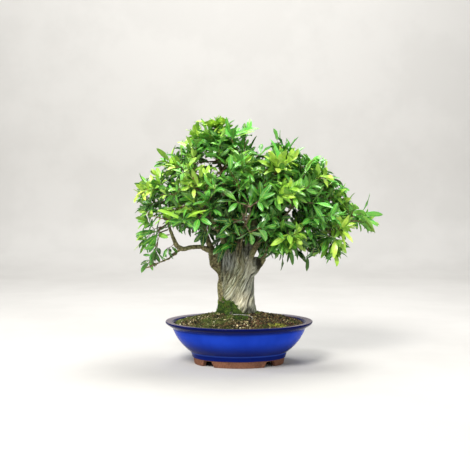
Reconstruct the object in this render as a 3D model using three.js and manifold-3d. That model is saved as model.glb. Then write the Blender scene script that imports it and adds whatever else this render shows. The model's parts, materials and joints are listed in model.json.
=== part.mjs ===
// Pomegranate bonsai: an old, thick-trunked tree with leafy shoots, in the soil of an oval glazed pot.
// Millimetres, +Z up. The front of the pot faces -Y. Everything is laid out round the middle of the pot,
// and the finished group is moved so that the middle of its bounding box stands over the origin.
import * as THREE from "three";
import { mergeVertices } from "three/addons/utils/BufferGeometryUtils.js";
import Module from "manifold-3d";

const wasm = await Module();
wasm.setup();

const GAP = 0.3; // what two touching pieces keep between them
const SLIVER = 1e-3; // vertices closer than this are one vertex

// ---- Pot: one stoneware casting with an oval foot ring, a bulging wall and a turned-out lip ----
// Its plan is an oval. A profile radius equal to footHalfLength lies on the foot ring, and everything
// outside the ring keeps the same distance from it all round.
const pot = {
  footHalfLength: 98,
  footHalfWidth: 70,
  footHeight: 13.5,
  footWall: 11,
  floorTop: 22,
  bandTop: 23,
  wallFoot: new THREE.Vector2(102, 25),
  wallBulge: new THREE.Vector2(131, 46),
  wallTop: new THREE.Vector2(141.6, 77),
  lipUnder: new THREE.Vector2(152.5, 83.5),
  lipEdge: new THREE.Vector2(156.6, 87.5),
  lipTop: new THREE.Vector2(155.6, 91),
  lipInner: new THREE.Vector2(141.5, 89.5),
  insideTop: new THREE.Vector2(137.5, 85.5),
  insideBulge: new THREE.Vector2(124.5, 44),
  insideFoot: new THREE.Vector2(93, 22),
  sides: 36,
  wallSteps: 4,
};
const footSlot = { x: 66, y: 51, topWidth: 20, bottomWidth: 28, height: 12.6, reach: 34 };
const drain = { x: 47, radius: 11, sides: 16 };

// ---- Drain screens and the wire staples that hold them over the drain holes ----
const screen = { side: 32, thickness: 1.2, hole: 6.4, pitch: 9, holesPerSide: 3 };
const staple = { wire: 0.8, bend: 1.6, tailReach: 11, sides: 6 };

// ---- Soil: fills the pot, mounded against the trunk ----
const soil = { edgeHeight: 85, rise: 25, moundPower: 1.6, grain: 1.3, rings: 4 };

// ---- Trunk: an old stump, furrowed deadwood that twists to the right as it climbs ----
const trunk = {
  footHeight: 62,
  topHeight: 240,
  hollowDepth: 18,
  centreX: -5,
  halfWidth: 36.5,
  depthShare: 0.9,
  furrows: 9,
  furrowDepth: 3,
  twist: 0.0085,
  flare: 0.14,
  flareHeight: 98,
  flareFade: 20,
  roots: 4,
  rootSwell: 0.14,
  sides: 32,
  steps: 11,
};

// ---- Limbs: each is a run of [x, y, z, radius] points that starts inside the wood it grows from ----
const limbs = {
  vein: [[-34, -8, 104, 8], [-37, -10, 150, 9], [-41, -11, 190, 10], [-48, -11, 214, 12], [-56, -11, 236, 9]],
  burl: [[-45, -12, 238, 9], [-50, -13, 220, 12.5], [-50, -13, 205, 10.5], [-46, -12, 195, 5]],
  leftLow: [
    [-50, -11, 226, 9], [-62, -12, 240, 7], [-80, -14, 248, 5.4], [-102, -15, 247, 4.8],
    [-118, -16, 243, 5.4], [-131, -17, 250, 5.6], [-140, -18, 272, 4.4], [-150, -18, 300, 3.2],
    [-156, -16, 322, 2.2],
  ],
  leftTwig: [[-122, -16, 245, 3.8], [-146, -20, 224, 2.6], [-170, -22, 214, 2], [-196, -22, 203, 1.6]],
  leftUp: [
    [-54, -8, 230, 7.5], [-66, -4, 262, 6.4], [-78, 4, 300, 5.4], [-98, 2, 342, 4.4], [-118, -5, 378, 3.4],
    [-130, -8, 400, 2.3],
  ],
  apex: [
    [-22, -8, 205, 14], [-20, -7, 255, 11.5], [-30, -2, 312, 7.6], [-31, 3, 380, 5.6], [-42, 6, 424, 4],
    [-50, 6, 454, 2.4],
  ],
  centre: [
    [-1, -18, 205, 11], [1, -23, 258, 8.5], [9, -33, 325, 6], [20, -30, 382, 4.4], [14, -16, 422, 2.4],
  ],
  rightTop: [
    [18, -8, 205, 13.5], [19, -7, 258, 11.5], [36, 3, 305, 8], [60, 8, 350, 6], [78, 8, 392, 4.4],
    [88, 6, 426, 2.4],
  ],
  rightHigh: [[39, 4, 310, 6], [84, 8, 336, 4.6], [122, 6, 365, 3.8], [150, 4, 396, 2.3]],
  rightLow: [
    [20, -8, 184, 9], [37, -11, 202, 9.5], [50, -12, 222, 8], [57, -12, 245, 7], [76, -16, 266, 5.8],
    [115, -24, 281, 4.8], [165, -28, 295, 3.8], [222, -22, 300, 2.6], [246, -16, 303, 2],
  ],
  rightMid: [[108, -23, 279, 4.4], [145, -16, 305, 3.6], [180, -12, 332, 2.8], [192, -10, 348, 2]],
  rightDown: [[158, -28, 294, 3.8], [184, -38, 282, 2.8], [202, -42, 270, 2]],
  frontLeft: [[-16, -20, 210, 10], [-34, -46, 268, 6.4], [-52, -66, 302, 4.8], [-64, -74, 332, 2.6]],
  frontRight: [[12, -20, 208, 9], [42, -46, 262, 6], [80, -68, 298, 4.4], [106, -82, 330, 2.4]],
  frontMid: [[-4, -22, 212, 8], [2, -56, 258, 5.2], [10, -80, 292, 4], [24, -90, 320, 2.4]],
  backLeft: [[-18, 16, 206, 11], [-38, 46, 280, 7], [-66, 76, 322, 5], [-86, 90, 350, 2.6]],
  backMid: [[0, 18, 206, 11], [2, 48, 295, 7], [4, 74, 342, 5], [4, 74, 388, 2.6]],
  backRight: [[16, 14, 206, 11], [43, 48, 280, 7], [76, 76, 320, 5], [106, 86, 348, 2.6]],
};
const sidesFor = (radius) => (radius > 10.5 ? 8 : radius > 7 ? 6 : 5);

// ---- Crown: a cloud of leafy lobes; centre and radii reach out to the leaf tips ----
const lobes = [
  { name: "apex", centre: [-54, 5, 462], radii: [60, 66, 66] },
  { name: "top_mid", centre: [20, 0, 436], radii: [72, 74, 66] },
  { name: "top_right", centre: [88, 5, 424], radii: [60, 74, 64] },
  { name: "right_high", centre: [142, 5, 384], radii: [66, 80, 66] },
  { name: "right_mid", centre: [182, -5, 342], radii: [62, 76, 62] },
  { name: "right_tip", centre: [238, -14, 302], radii: [53, 46, 36] },
  { name: "right_low", centre: [182, -32, 266], radii: [58, 66, 60] },
  { name: "right_front", centre: [100, -72, 268], radii: [72, 70, 66] },
  { name: "left_high", centre: [-122, -5, 404], radii: [66, 72, 64] },
  { name: "left_mid", centre: [-158, -10, 346], radii: [62, 76, 64] },
  { name: "left_low", centre: [-172, -20, 270], radii: [52, 60, 58] },
  { name: "left_front", centre: [-78, -78, 338], radii: [80, 76, 84] },
  { name: "front_mid", centre: [14, -90, 350], radii: [86, 76, 94] },
  { name: "front_right", centre: [110, -72, 358], radii: [82, 72, 80] },
  { name: "back_left", centre: [-88, 78, 362], radii: [86, 80, 84] },
  { name: "back_mid", centre: [10, 94, 378], radii: [86, 76, 92] },
  { name: "back_right", centre: [106, 80, 360], radii: [86, 78, 80] },
];
const crownCore = new THREE.Vector3(4, 0, 300);
const crown = { shoots: 61, sitesPerLobe: 90, buried: 0.93, outwardness: 0.3, floor: 214, skinInset: 60 };
const goldenAngle = Math.PI * (3 - Math.sqrt(5));
const youngEvery = 4; // every so many shoots is pale young growth

// ---- Shoots and leaves ----
const stem = {
  baseRadius: 2,
  tipRadius: 1.1,
  bow: 9,
  firstSeat: 0.3,
  lastSeat: 0.985,
  seatSpacing: 12,
  shortest: 26,
  tries: 24,
};
const twig = { length: 30, baseRadius: 1.3, tipRadius: 0.9, spread: 0.95, lift: 0.35 };
const leaf = {
  length: 48,
  width: 15.5,
  keel: 1.3,
  pairs: 3,
  pairSpacing: 11.5,
  tipMargin: 4,
  rootMargin: 9,
  nodeLength: 2.6,
  tipSpread: 0.85,
  spreadStep: 0.1,
  droop: 0.16,
  tilt: 0.7,
  tries: 11,
};
// The blade's stations: share of its length, and share of its half width.
const bladeStations = [[0.36, 0.95], [0.7, 0.8]];
const clearance = 0.4; // what a leaf or stem keeps from any other
const seedBase = 4100;

// ================= Shared geometry =================

// A closed geometry as a solid: shared vertices are merged and collapsed faces are dropped.
function solidOf(geometry) {
  const bare = geometry.clone();
  bare.deleteAttribute("normal");
  bare.deleteAttribute("uv");
  const merged = mergeVertices(bare, SLIVER);
  const corners = [...merged.index.array];
  const kept = [];
  for (let i = 0; i < corners.length; i += 3) {
    const [a, b, c] = corners.slice(i, i + 3);
    if (a !== b && b !== c && a !== c) kept.push(a, b, c);
  }
  const vertProperties = merged.attributes.position.array;
  return new wasm.Manifold(new wasm.Mesh({ numProp: 3, vertProperties, triVerts: new Uint32Array(kept) }));
}

function meshOf(name, solid, material) {
  const { numProp, vertProperties, triVerts } = solid.getMesh();
  const positions = new Float32Array((vertProperties.length / numProp) * 3);
  for (let i = 0; i < positions.length / 3; i++) {
    positions.set(vertProperties.subarray(i * numProp, i * numProp + 3), i * 3);
  }
  const geometry = new THREE.BufferGeometry();
  geometry.setAttribute("position", new THREE.BufferAttribute(positions, 3));
  geometry.setIndex(new THREE.BufferAttribute(triVerts, 1));
  geometry.computeVertexNormals();
  const mesh = new THREE.Mesh(geometry, material);
  mesh.name = name;
  return mesh;
}

// The biggest body of a solid that a cut may have left in several.
function biggest(solid) {
  return solid.decompose().reduce((best, body) => (body.volume() > best.volume() ? body : best));
}

// Moves each vertex of a geometry to where `place` puts it.
function reshape(geometry, place) {
  const position = geometry.attributes.position;
  const point = new THREE.Vector3();
  for (let i = 0; i < position.count; i++) {
    point.fromBufferAttribute(position, i);
    place(point);
    position.setXYZ(i, point.x, point.y, point.z);
  }
  return geometry;
}

// A seeded stream of numbers from 0 to 1.
function randomStream(seed) {
  let state = seed >>> 0;
  return () => {
    state = (state + 0x6d2b79f5) >>> 0;
    let t = Math.imul(state ^ (state >>> 15), state | 1);
    t ^= t + Math.imul(t ^ (t >>> 7), t | 61);
    return ((t ^ (t >>> 14)) >>> 0) / 4294967296;
  };
}

const smoothCurve = (points) => new THREE.CatmullRomCurve3(points, false, "catmullrom", 0.5);
const vector = (list) => new THREE.Vector3(list[0], list[1], list[2]);

// A round rod whose axis follows a curve and whose radius is a function of the share of its length.
// `overrun` lengthens it at both ends.
function rod(curve, radiusAt, sides, steps, overrun = 0) {
  const frames = curve.computeFrenetFrames(steps, false);
  const shape = new THREE.CylinderGeometry(1, 1, 1, sides, steps);
  return reshape(shape, (point) => {
    const step = Math.round((point.y + 0.5) * steps);
    const share = step / steps;
    const radius = radiusAt(share);
    const along = step === 0 ? -overrun : step === steps ? overrun : 0;
    const across = frames.normals[step].clone().multiplyScalar(point.z * radius);
    const beside = frames.binormals[step].clone().multiplyScalar(point.x * radius);
    point.copy(curve.getPoint(share));
    point.add(across).add(beside).addScaledVector(frames.tangents[step], along);
  });
}

// ================= Pot =================

// The half width of the oval whose half length is r.
function ovalHalfWidth(r) {
  const inside = r * (pot.footHalfWidth / pot.footHalfLength);
  return r < pot.footHalfLength ? inside : r - (pot.footHalfLength - pot.footHalfWidth);
}

// Turns a profile of [half length, height] points into a closed oval body, +Z up.
function ovalBody(profile, sides) {
  const body = new THREE.LatheGeometry(profile, sides);
  return reshape(body, (point) => {
    const r = Math.hypot(point.x, point.z);
    const squeeze = r > 0 ? ovalHalfWidth(r) / r : 1;
    point.set(point.x, -point.z * squeeze, point.y);
  });
}

function bend(start, middle, end, steps) {
  return new THREE.QuadraticBezierCurve(start, middle, end).getPoints(steps);
}

function insideWall(steps) {
  return bend(pot.insideFoot, pot.insideBulge, pot.insideTop, steps);
}

function makePot() {
  const ring = pot.footHalfLength;
  const profile = [
    new THREE.Vector2(0, pot.footHeight),
    new THREE.Vector2(ring - pot.footWall, pot.footHeight),
    new THREE.Vector2(ring - pot.footWall, 0),
    new THREE.Vector2(ring - 3, 0),
    new THREE.Vector2(ring - 1, pot.footHeight),
    new THREE.Vector2(ring + 0.8, pot.footHeight + 0.6),
    new THREE.Vector2(ring + 3.4, pot.bandTop),
    ...bend(pot.wallFoot, pot.wallBulge, pot.wallTop, pot.wallSteps),
    pot.lipUnder,
    pot.lipEdge,
    pot.lipTop,
    pot.lipInner,
    ...insideWall(pot.wallSteps).reverse(),
    new THREE.Vector2(0, pot.floorTop),
  ];
  let body = solidOf(ovalBody(profile, pot.sides));
  for (const side of [-1, 1]) {
    body = body.subtract(drainHole(side));
    for (const face of [-1, 1]) body = body.subtract(slotBetweenFeet(side, face));
  }
  return body;
}

// The gap between two neighbouring feet: a slot through the foot ring, wider at the table than at the pot.
function slotBetweenFeet(side, face) {
  const below = 1;
  const outline = new THREE.Shape();
  outline.moveTo(-footSlot.bottomWidth / 2, -below);
  outline.lineTo(footSlot.bottomWidth / 2, -below);
  outline.lineTo(footSlot.topWidth / 2, footSlot.height - 2);
  outline.lineTo(footSlot.topWidth / 2 - 2, footSlot.height);
  outline.lineTo(2 - footSlot.topWidth / 2, footSlot.height);
  outline.lineTo(-footSlot.topWidth / 2, footSlot.height - 2);
  const block = new THREE.ExtrudeGeometry(outline, { depth: footSlot.reach, bevelEnabled: false });
  block.translate(0, 0, -footSlot.reach / 2);
  block.rotateX(Math.PI / 2);
  block.rotateZ(Math.atan2(face * footSlot.y, side * footSlot.x) + Math.PI / 2);
  block.translate(side * footSlot.x, face * footSlot.y, 0);
  return solidOf(block);
}

function drainHole(side) {
  const tall = 30;
  const hole = new THREE.CylinderGeometry(drain.radius, drain.radius, tall, drain.sides);
  hole.rotateX(Math.PI / 2);
  hole.translate(side * drain.x, 0, pot.floorTop - tall / 4);
  return solidOf(hole);
}

// ================= Drain screens =================

function makeScreen(side) {
  const half = screen.side / 2;
  const plate = new THREE.Shape();
  plate.moveTo(-half, -half);
  plate.lineTo(half, -half);
  plate.lineTo(half, half);
  plate.lineTo(-half, half);
  const first = (-(screen.holesPerSide - 1) / 2) * screen.pitch;
  for (let i = 0; i < screen.holesPerSide; i++) {
    for (let j = 0; j < screen.holesPerSide; j++) {
      plate.holes.push(diamond(first + i * screen.pitch, first + j * screen.pitch, screen.hole / 2));
    }
  }
  const grid = new THREE.ExtrudeGeometry(plate, { depth: screen.thickness, bevelEnabled: false });
  grid.translate(side * drain.x, 0, pot.floorTop + GAP);
  return solidOf(grid);
}

function diamond(x, y, reach) {
  const hole = new THREE.Path();
  hole.moveTo(x - reach, y);
  hole.lineTo(x, y + reach);
  hole.lineTo(x + reach, y);
  hole.lineTo(x, y - reach);
  return hole;
}

// A bent wire: over the screen, down through two of its holes and the drain hole, and out under the floor.
function makeStaple(side) {
  const top = pot.floorTop + 2 * GAP + screen.thickness + staple.wire;
  const bottom = pot.footHeight - GAP - staple.wire;
  const leg = screen.pitch;
  const leftHalf = [
    [-leg - staple.tailReach, bottom],
    [-leg - staple.bend, bottom],
    [-leg, bottom + staple.bend],
    [-leg, top - staple.bend],
    [staple.bend - leg, top],
  ];
  const rightHalf = leftHalf.map(([x, z]) => [-x, z]).reverse();
  const corners = [...leftHalf, ...rightHalf].map(([x, z]) => new THREE.Vector3(x, 0, z));
  const wire = polylineRod(corners, staple.wire, staple.sides);
  wire.translate(side * drain.x, 0, 0);
  return solidOf(wire);
}

// A rod through straight stretches in a plane that holds the Y direction, mitred at each corner.
function polylineRod(points, radius, sides) {
  const steps = points.length - 1;
  const across = new THREE.Vector3(0, 1, 0);
  const shape = new THREE.CylinderGeometry(1, 1, 1, sides, steps);
  return reshape(shape, (point) => {
    const step = Math.round((point.y + 0.5) * steps);
    const before = points[Math.max(step - 1, 0)];
    const after = points[Math.min(step + 1, steps)];
    const arriving = points[step].clone().sub(before).normalize();
    const leaving = after.clone().sub(points[step]).normalize();
    const tangent = arriving.clone().add(leaving).normalize();
    const beside = new THREE.Vector3().crossVectors(across, tangent);
    const stretch = step === 0 || step === steps ? 1 : 1 / tangent.dot(leaving);
    const sideways = across.clone().multiplyScalar(point.x * radius);
    const upwards = beside.multiplyScalar(point.z * radius * stretch);
    point.copy(points[step]).add(sideways).add(upwards);
  });
}

// ================= Soil =================

function soilHeight(x, y) {
  const edge = pot.insideTop.x;
  const share = Math.min(1, Math.hypot(x / edge, y / ovalHalfWidth(edge)));
  const lumps = Math.sin(x * 0.31 + 1.3) * Math.sin(y * 0.37 + 0.4) + 0.6 * Math.sin(x * 0.83 - y * 0.71);
  return soil.edgeHeight + soil.rise * (1 - share ** soil.moundPower) + soil.grain * lumps * (1 - share ** 8);
}

function makeSoil(trunkHole, pockets) {
  const inset = (point) => new THREE.Vector2(point.x - 1.4 * GAP, point.y + 0.0);
  const wall = insideWall(pot.wallSteps).map(inset);
  wall[0].y += GAP;
  const profile = [new THREE.Vector2(0, pot.floorTop + GAP), ...wall];
  for (let ring = soil.rings - 1; ring >= 0; ring--) {
    profile.push(new THREE.Vector2((wall.at(-1).x * ring) / soil.rings, soil.edgeHeight + 1));
  }
  const body = reshape(ovalBody(profile, pot.sides), (point) => {
    if (point.z > soil.edgeHeight + 0.5) point.z = soilHeight(point.x, point.y);
  });
  return pockets.reduce((rest, pocket) => rest.subtract(pocket), solidOf(body).subtract(trunkHole));
}

// The hollow in the soil over one drain hole, which its screen and staple fill.
function screenPocket(side) {
  const room = screen.side + 2 * GAP;
  const tall = 2 * (screen.thickness + 2 * staple.wire + 4 * GAP);
  const box = new THREE.BoxGeometry(room, room, tall);
  box.translate(side * drain.x, 0, pot.floorTop);
  return solidOf(box);
}

// ================= Trunk and limbs =================

// How much wider the trunk is at a height: the flare of the root base, and the taper to the broken top.
function trunkGirth(height) {
  const flare = trunk.flare * Math.exp(-Math.max(0, height - trunk.flareHeight) / trunk.flareFade);
  const buried = Math.max(0, trunk.flareHeight - height) / (trunk.flareHeight - trunk.footHeight);
  const top = Math.max(0, height - 195) / (trunk.topHeight - 195);
  return (1 + flare) * (1 - 0.3 * buried * buried) * (1 - 0.16 * top * top);
}

// The trunk's surface: `angle` runs round it, and `extra` stands it off from its true size.
function trunkPoint(angle, height, extra, target) {
  const rootShare = Math.exp(-Math.max(0, height - trunk.flareHeight) / trunk.flareFade);
  const swell = trunk.rootSwell * rootShare * Math.cos(trunk.roots * angle + 0.6);
  const turn = angle - trunk.twist * (height - trunk.footHeight);
  const furrow = Math.abs(Math.sin((trunk.furrows * turn) / 2)) + 0.4 * Math.sin(5 * turn + height * 0.03);
  const smooth = trunk.halfWidth * trunkGirth(height) * (1 + swell);
  const radius = smooth + trunk.furrowDepth * (furrow - 0.7) + extra;
  return target.set(
    trunk.centreX + radius * Math.cos(angle),
    radius * trunk.depthShare * Math.sin(angle),
    height,
  );
}

function trunkBody(extra) {
  const shape = new THREE.CylinderGeometry(1, 1, 1, trunk.sides, trunk.steps);
  return reshape(shape, (point) => {
    const share = point.y + 0.5;
    const onAxis = Math.hypot(point.x, point.z) < 0.5;
    const angle = Math.atan2(-point.z, point.x);
    let height = trunk.footHeight + share * (trunk.topHeight - trunk.footHeight);
    if (share < 0.01) height -= extra;
    if (onAxis && share > 0.99) height -= trunk.hollowDepth;
    if (onAxis) point.set(trunk.centreX, 0, height);
    else trunkPoint(angle, height, extra, point);
  });
}

// A limb as its curve, its radius along it, and its solid; `extra` makes it that much thicker.
function limbCurve(points) {
  const axis = smoothCurve(points.map(vector));
  const radiusAt = (share) => {
    const place = share * (points.length - 1);
    const index = Math.min(Math.floor(place), points.length - 2);
    return THREE.MathUtils.lerp(points[index][3], points[index + 1][3], place - index);
  };
  return { axis, radiusAt, steps: points.length - 1, sides: sidesFor(points[0][3]) };
}

function limbSolid({ axis, radiusAt, steps, sides }, extra) {
  return solidOf(rod(axis, (share) => radiusAt(share) + extra, sides, steps, extra));
}

// ================= Shoots =================

// What a piece of the tree takes up, with its owner's name.
function takenSpace(solid, owner) {
  const { min, max } = solid.boundingBox();
  return { solid, owner, box: new THREE.Box3(vector(min), vector(max)) };
}

// Whether a space meets none of those taken before it, apart from those of the owners to ignore.
function isClear(space, taken, ignored) {
  return taken.every((other) => {
    if (ignored.includes(other.owner) || !space.box.intersectsBox(other.box)) return true;
    return space.solid.intersect(other.solid).isEmpty();
  });
}

// The space that a stem or twig takes up over a stretch of its length.
function branchSpace(branch, owner, from, to) {
  const points = [0, 1, 2, 3].map((i) => branch.axis.getPoint(from + ((to - from) * i) / 3));
  const radiusAt = (share) => branch.radiusAt(from + (to - from) * share) + clearance;
  return takenSpace(solidOf(rod(smoothCurve(points), radiusAt, 5, 3)), owner);
}

// Whether a point lies inside a lobe shrunk to `share` of its size.
function insideLobe(point, lobe, share) {
  const offset = point.clone().sub(vector(lobe.centre)).divide(vector(lobe.radii));
  return offset.length() < share;
}

// Points spread evenly over the outward skin of the crown, as places that a shoot could reach for.
function crownSites() {
  const sites = [];
  for (const lobe of lobes) {
    const others = lobes.filter((other) => other !== lobe);
    for (let i = 0; i < crown.sitesPerLobe; i++) {
      const up = 1 - (2 * (i + 0.5)) / crown.sitesPerLobe;
      const level = Math.sqrt(1 - up * up);
      const turn = goldenAngle * i;
      const direction = new THREE.Vector3(level * Math.cos(turn), level * Math.sin(turn), up);
      const skin = vector(lobe.centre).add(direction.clone().multiply(vector(lobe.radii)));
      const outward = skin.clone().sub(crownCore).normalize();
      if (skin.z < crown.floor || outward.dot(direction) < crown.outwardness) continue;
      if (others.some((other) => insideLobe(skin, other, crown.buried))) continue;
      sites.push({ lobe, skin, direction });
    }
  }
  return sites;
}

// Picks sites one after another, each the one farthest from all those picked before it.
function farthestFirst(sites, count) {
  const picked = [sites[0]];
  const nearest = sites.map((site) => site.skin.distanceTo(sites[0].skin));
  while (picked.length < count) {
    const next = nearest.indexOf(Math.max(...nearest));
    picked.push(sites[next]);
    sites.forEach((site, i) => {
      nearest[i] = Math.min(nearest[i], site.skin.distanceTo(sites[next].skin));
    });
  }
  return picked;
}

// Every place along the limbs where a shoot could grow, a little apart from the next.
function limbSeats(limbLines) {
  const seats = [];
  for (const [name, limb] of Object.entries(limbLines)) {
    const count = Math.floor(limb.axis.getLength() / stem.seatSpacing);
    for (let i = Math.ceil(count * stem.firstSeat); i <= count; i++) {
      const share = limb.axis.getUtoTmapping((i / count) * stem.lastSeat);
      seats.push({ name, limb, point: limb.axis.getPoint(share), radius: limb.radiusAt(share), free: true });
    }
  }
  return seats;
}

// A stem or twig: its axis, its thickness, and what keeps its four sides from turning about it.
function makeBranch(axis, thickness, roll) {
  const chord = axis.getPoint(1).sub(axis.getPoint(0)).normalize();
  const upright = Math.abs(chord.z) < 0.85 ? new THREE.Vector3(0, 0, 1) : new THREE.Vector3(1, 0, 0);
  const radiusAt = (share) => THREE.MathUtils.lerp(thickness.baseRadius, thickness.tipRadius, share);
  return { axis, length: axis.getLength(), radiusAt, roll, upright, leaves: [], twigs: [] };
}

// The line of a stem: from its limb's axis, bowed away from the crown's core, to just under the skin.
function stemLine(seat, site) {
  const end = site.skin.clone().addScaledVector(site.direction, -crown.skinInset);
  const middle = seat.point.clone().lerp(end, 0.5);
  const outward = middle.clone().sub(crownCore).normalize();
  middle.addScaledVector(outward, stem.bow);
  return smoothCurve([seat.point, middle, end]);
}

// Grows the stems: each from the nearest free seat from which it meets nothing on its way.
function growStems(limbLines, taken) {
  const seats = limbSeats(limbLines);
  const shoots = [];
  for (const site of farthestFirst(crownSites(), crown.shoots)) {
    const end = site.skin.clone().addScaledVector(site.direction, -crown.skinInset);
    const order = seats.filter((seat) => seat.free && seat.point.distanceTo(end) > stem.shortest);
    order.sort((a, b) => a.point.distanceTo(end) - b.point.distanceTo(end));
    const name = `shoot ${shoots.length}`;
    for (const seat of order.slice(0, stem.tries)) {
      const main = makeBranch(stemLine(seat, site), stem, 0);
      const near = branchSpace(main, name, (seat.radius + 1) / main.length, 0.4);
      const far = branchSpace(main, name, 0.4, 1);
      if (!isClear(near, taken, [seat.name]) || !isClear(far, taken, [])) continue;
      taken.push(near, far);
      seat.free = false;
      shoots.push({ name, site, seat, main });
      break;
    }
  }
  return shoots;
}

// A leaf's midrib: it sets out along `direction` and bends away from its upper face at each station.
function leafRib(root, direction, face, length, droop) {
  const ribs = [root.clone()];
  const heading = direction.clone();
  let walked = 0;
  for (const share of [...bladeStations.map((station) => station[0]), 1]) {
    const previous = ribs.at(-1);
    ribs.push(previous.clone().addScaledVector(heading, (share - walked) * length));
    heading.addScaledVector(face, -droop).normalize();
    walked = share;
  }
  return ribs;
}

// The space that a leaf takes up: its blade, a little thicker and wider all round. It starts a share
// `from` of the way along the blade's first stretch.
function leafSpace(shape, owner, from) {
  const { ribs, face } = shape;
  const halfWidth = shape.halfWidth + clearance;
  const keel = leaf.keel + 2 * clearance;
  const raised = ribs.map((rib) => rib.clone().addScaledVector(face, clearance));
  const start = raised[0].clone().lerp(raised[1], from);
  const tip = raised.at(-1).clone().lerp(raised.at(-2), -0.05);
  const beside = new THREE.Vector3().crossVectors(face, raised[1].clone().sub(start)).normalize();
  const rootWidth = Math.max(0.18, from) * 1.15 * halfWidth;
  const corners = [
    start.clone().addScaledVector(beside, rootWidth),
    start.clone().addScaledVector(beside, -rootWidth),
    start.clone().addScaledVector(face, -keel - clearance),
  ];
  const faces = [0, 2, 1];
  growBlade(corners, faces, [0, 1, 2], { ribs: [start, ...raised.slice(1, -1), tip], face, halfWidth, keel });
  const blade = new THREE.BufferGeometry().setFromPoints(corners);
  blade.setIndex(faces);
  return takenSpace(solidOf(blade), owner);
}

// The direction of one of the four sides of a stem or twig, at a share of its length.
function sideOf(branch, share, side) {
  const tangent = branch.axis.getTangent(share);
  const first = new THREE.Vector3().crossVectors(tangent, branch.upright).normalize();
  return first.applyAxisAngle(tangent, branch.roll + (side * Math.PI) / 2);
}

// The places along a stem or twig where leaves or twigs stand: opposite pairs, each a quarter turn
// from the last, counted from the tip.
function nodesOf(branch) {
  const room = branch.length - leaf.tipMargin - leaf.rootMargin;
  const pairs = Math.min(leaf.pairs, Math.floor(room / leaf.pairSpacing) + 1);
  return Array.from({ length: pairs }, (_, pair) => ({
    share: 1 - (leaf.tipMargin + pair * leaf.pairSpacing) / branch.length,
    sides: [pair % 2, (pair % 2) + 2],
    spread: leaf.tipSpread + leaf.spreadStep * pair,
  }));
}

// A direction that leaves a branch at an angle `spread` to it, from one side, swung round it by `turn`.
function leavingWay(branch, share, side, spread, turn) {
  const tangent = branch.axis.getTangent(share);
  const sideways = sideOf(branch, share, side).applyAxisAngle(tangent, turn);
  return tangent.multiplyScalar(Math.cos(spread)).addScaledVector(sideways, Math.sin(spread)).normalize();
}

// One leaf as its midrib, its face and its half width.
function leafShape(root, direction, outward, size, tilt) {
  const face = new THREE.Vector3(0, 0, 0.7).add(outward);
  face.addScaledVector(direction, -face.dot(direction)).normalize().applyAxisAngle(direction, tilt);
  const droop = leaf.droop * (2.2 - root.z / 260);
  const ribs = leafRib(root, direction, face, leaf.length * size, droop);
  return { ribs, face, halfWidth: (leaf.width / 2) * size, keel: leaf.keel };
}

// Sets one leaf on a branch; where it would meet something it turns or shrinks, or is left out.
function setLeaf(branch, place, shoot, taken, random) {
  const size = 0.84 + 0.28 * random();
  const tilt = leaf.tilt * (2 * random() - 1);
  const spread = place.spread + leaf.spreadStep * (2 * random() - 1);
  for (let attempt = 0; attempt < leaf.tries; attempt++) {
    const turn = Math.ceil(attempt / 2) * 0.16 * (attempt % 2 ? 1 : -1);
    const direction = leavingWay(branch, place.share, place.side, spread, turn);
    const root = branch.axis.getPoint(place.share);
    const shape = leafShape(root, direction, shoot.site.direction, size * (1 - 0.04 * attempt), tilt);
    const whole = leafSpace(shape, shoot.name, 0.02);
    if (!isClear(leafSpace(shape, shoot.name, 0.3), taken, [])) continue;
    if (!isClear(whole, taken, [shoot.name])) continue;
    taken.push(whole);
    branch.leaves.push({ ...place, shape });
    return;
  }
}

// Sets a side twig on a stem, if there is room for it.
function setTwig(branch, place, shoot, taken, random) {
  const root = branch.axis.getPoint(place.share);
  for (const turn of [0, 0.3, -0.3]) {
    const direction = leavingWay(branch, place.share, place.side, twig.spread, turn);
    const length = twig.length * (0.85 + 0.3 * random());
    const middle = root.clone().addScaledVector(direction, length / 2);
    direction.addScaledVector(shoot.site.direction, twig.lift);
    const end = middle.clone().addScaledVector(direction, length / 2.2);
    const side = makeBranch(smoothCurve([root, middle, end]), twig, random() * Math.PI);
    const whole = branchSpace(side, shoot.name, 0.02, 1);
    if (!isClear(branchSpace(side, shoot.name, 0.2, 1), taken, [])) continue;
    if (!isClear(whole, taken, [shoot.name])) continue;
    taken.push(whole);
    branch.twigs.push({ ...place, branch: side });
    return;
  }
}

// Dresses a stem: side twigs at its lowest nodes, then leaves at all the others, and at every tip.
function dressShoot(shoot, taken, random) {
  const { main } = shoot;
  const nodes = nodesOf(main);
  const forked = nodes.length > 1 ? [nodes.at(-1)] : [];
  for (const node of forked) {
    for (const side of node.sides) setTwig(main, { ...node, side }, shoot, taken, random);
  }
  const branches = [main, ...main.twigs.map((place) => place.branch)];
  for (const branch of branches) {
    setLeaf(branch, { share: 1, side: 0, spread: 0.15, tip: true }, shoot, taken, random);
  }
  for (const branch of branches) {
    const leafy = branch === main ? nodes.filter((node) => !forked.includes(node)) : [nodesOf(branch)[0]];
    for (const node of leafy) {
      for (const side of node.sides) setLeaf(branch, { ...node, side }, shoot, taken, random);
    }
  }
}

// Every order in which a band can step along a lower and an upper loop of so many corners: "l" or "u"
// a step. An order that comes back to an edge it has used is left out.
function bandOrders(lowerCount, upperCount, done = "") {
  const steps = [...done];
  const a = steps.filter((step) => step === "l").length;
  const b = steps.length - a;
  if (a === lowerCount && b === upperCount) return [done];
  if (a === lowerCount && (b === 0 || done.startsWith("u".repeat(b)))) return [];
  if (b === upperCount && (a === 0 || done.startsWith("l".repeat(a)))) return [];
  const lowerNext = a < lowerCount ? bandOrders(lowerCount, upperCount, `${done}l`) : [];
  const upperNext = b < upperCount ? bandOrders(lowerCount, upperCount, `${done}u`) : [];
  return [...lowerNext, ...upperNext];
}
const orders = { 33: bandOrders(3, 3), 43: bandOrders(4, 3), 44: bandOrders(4, 4) };

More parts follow.
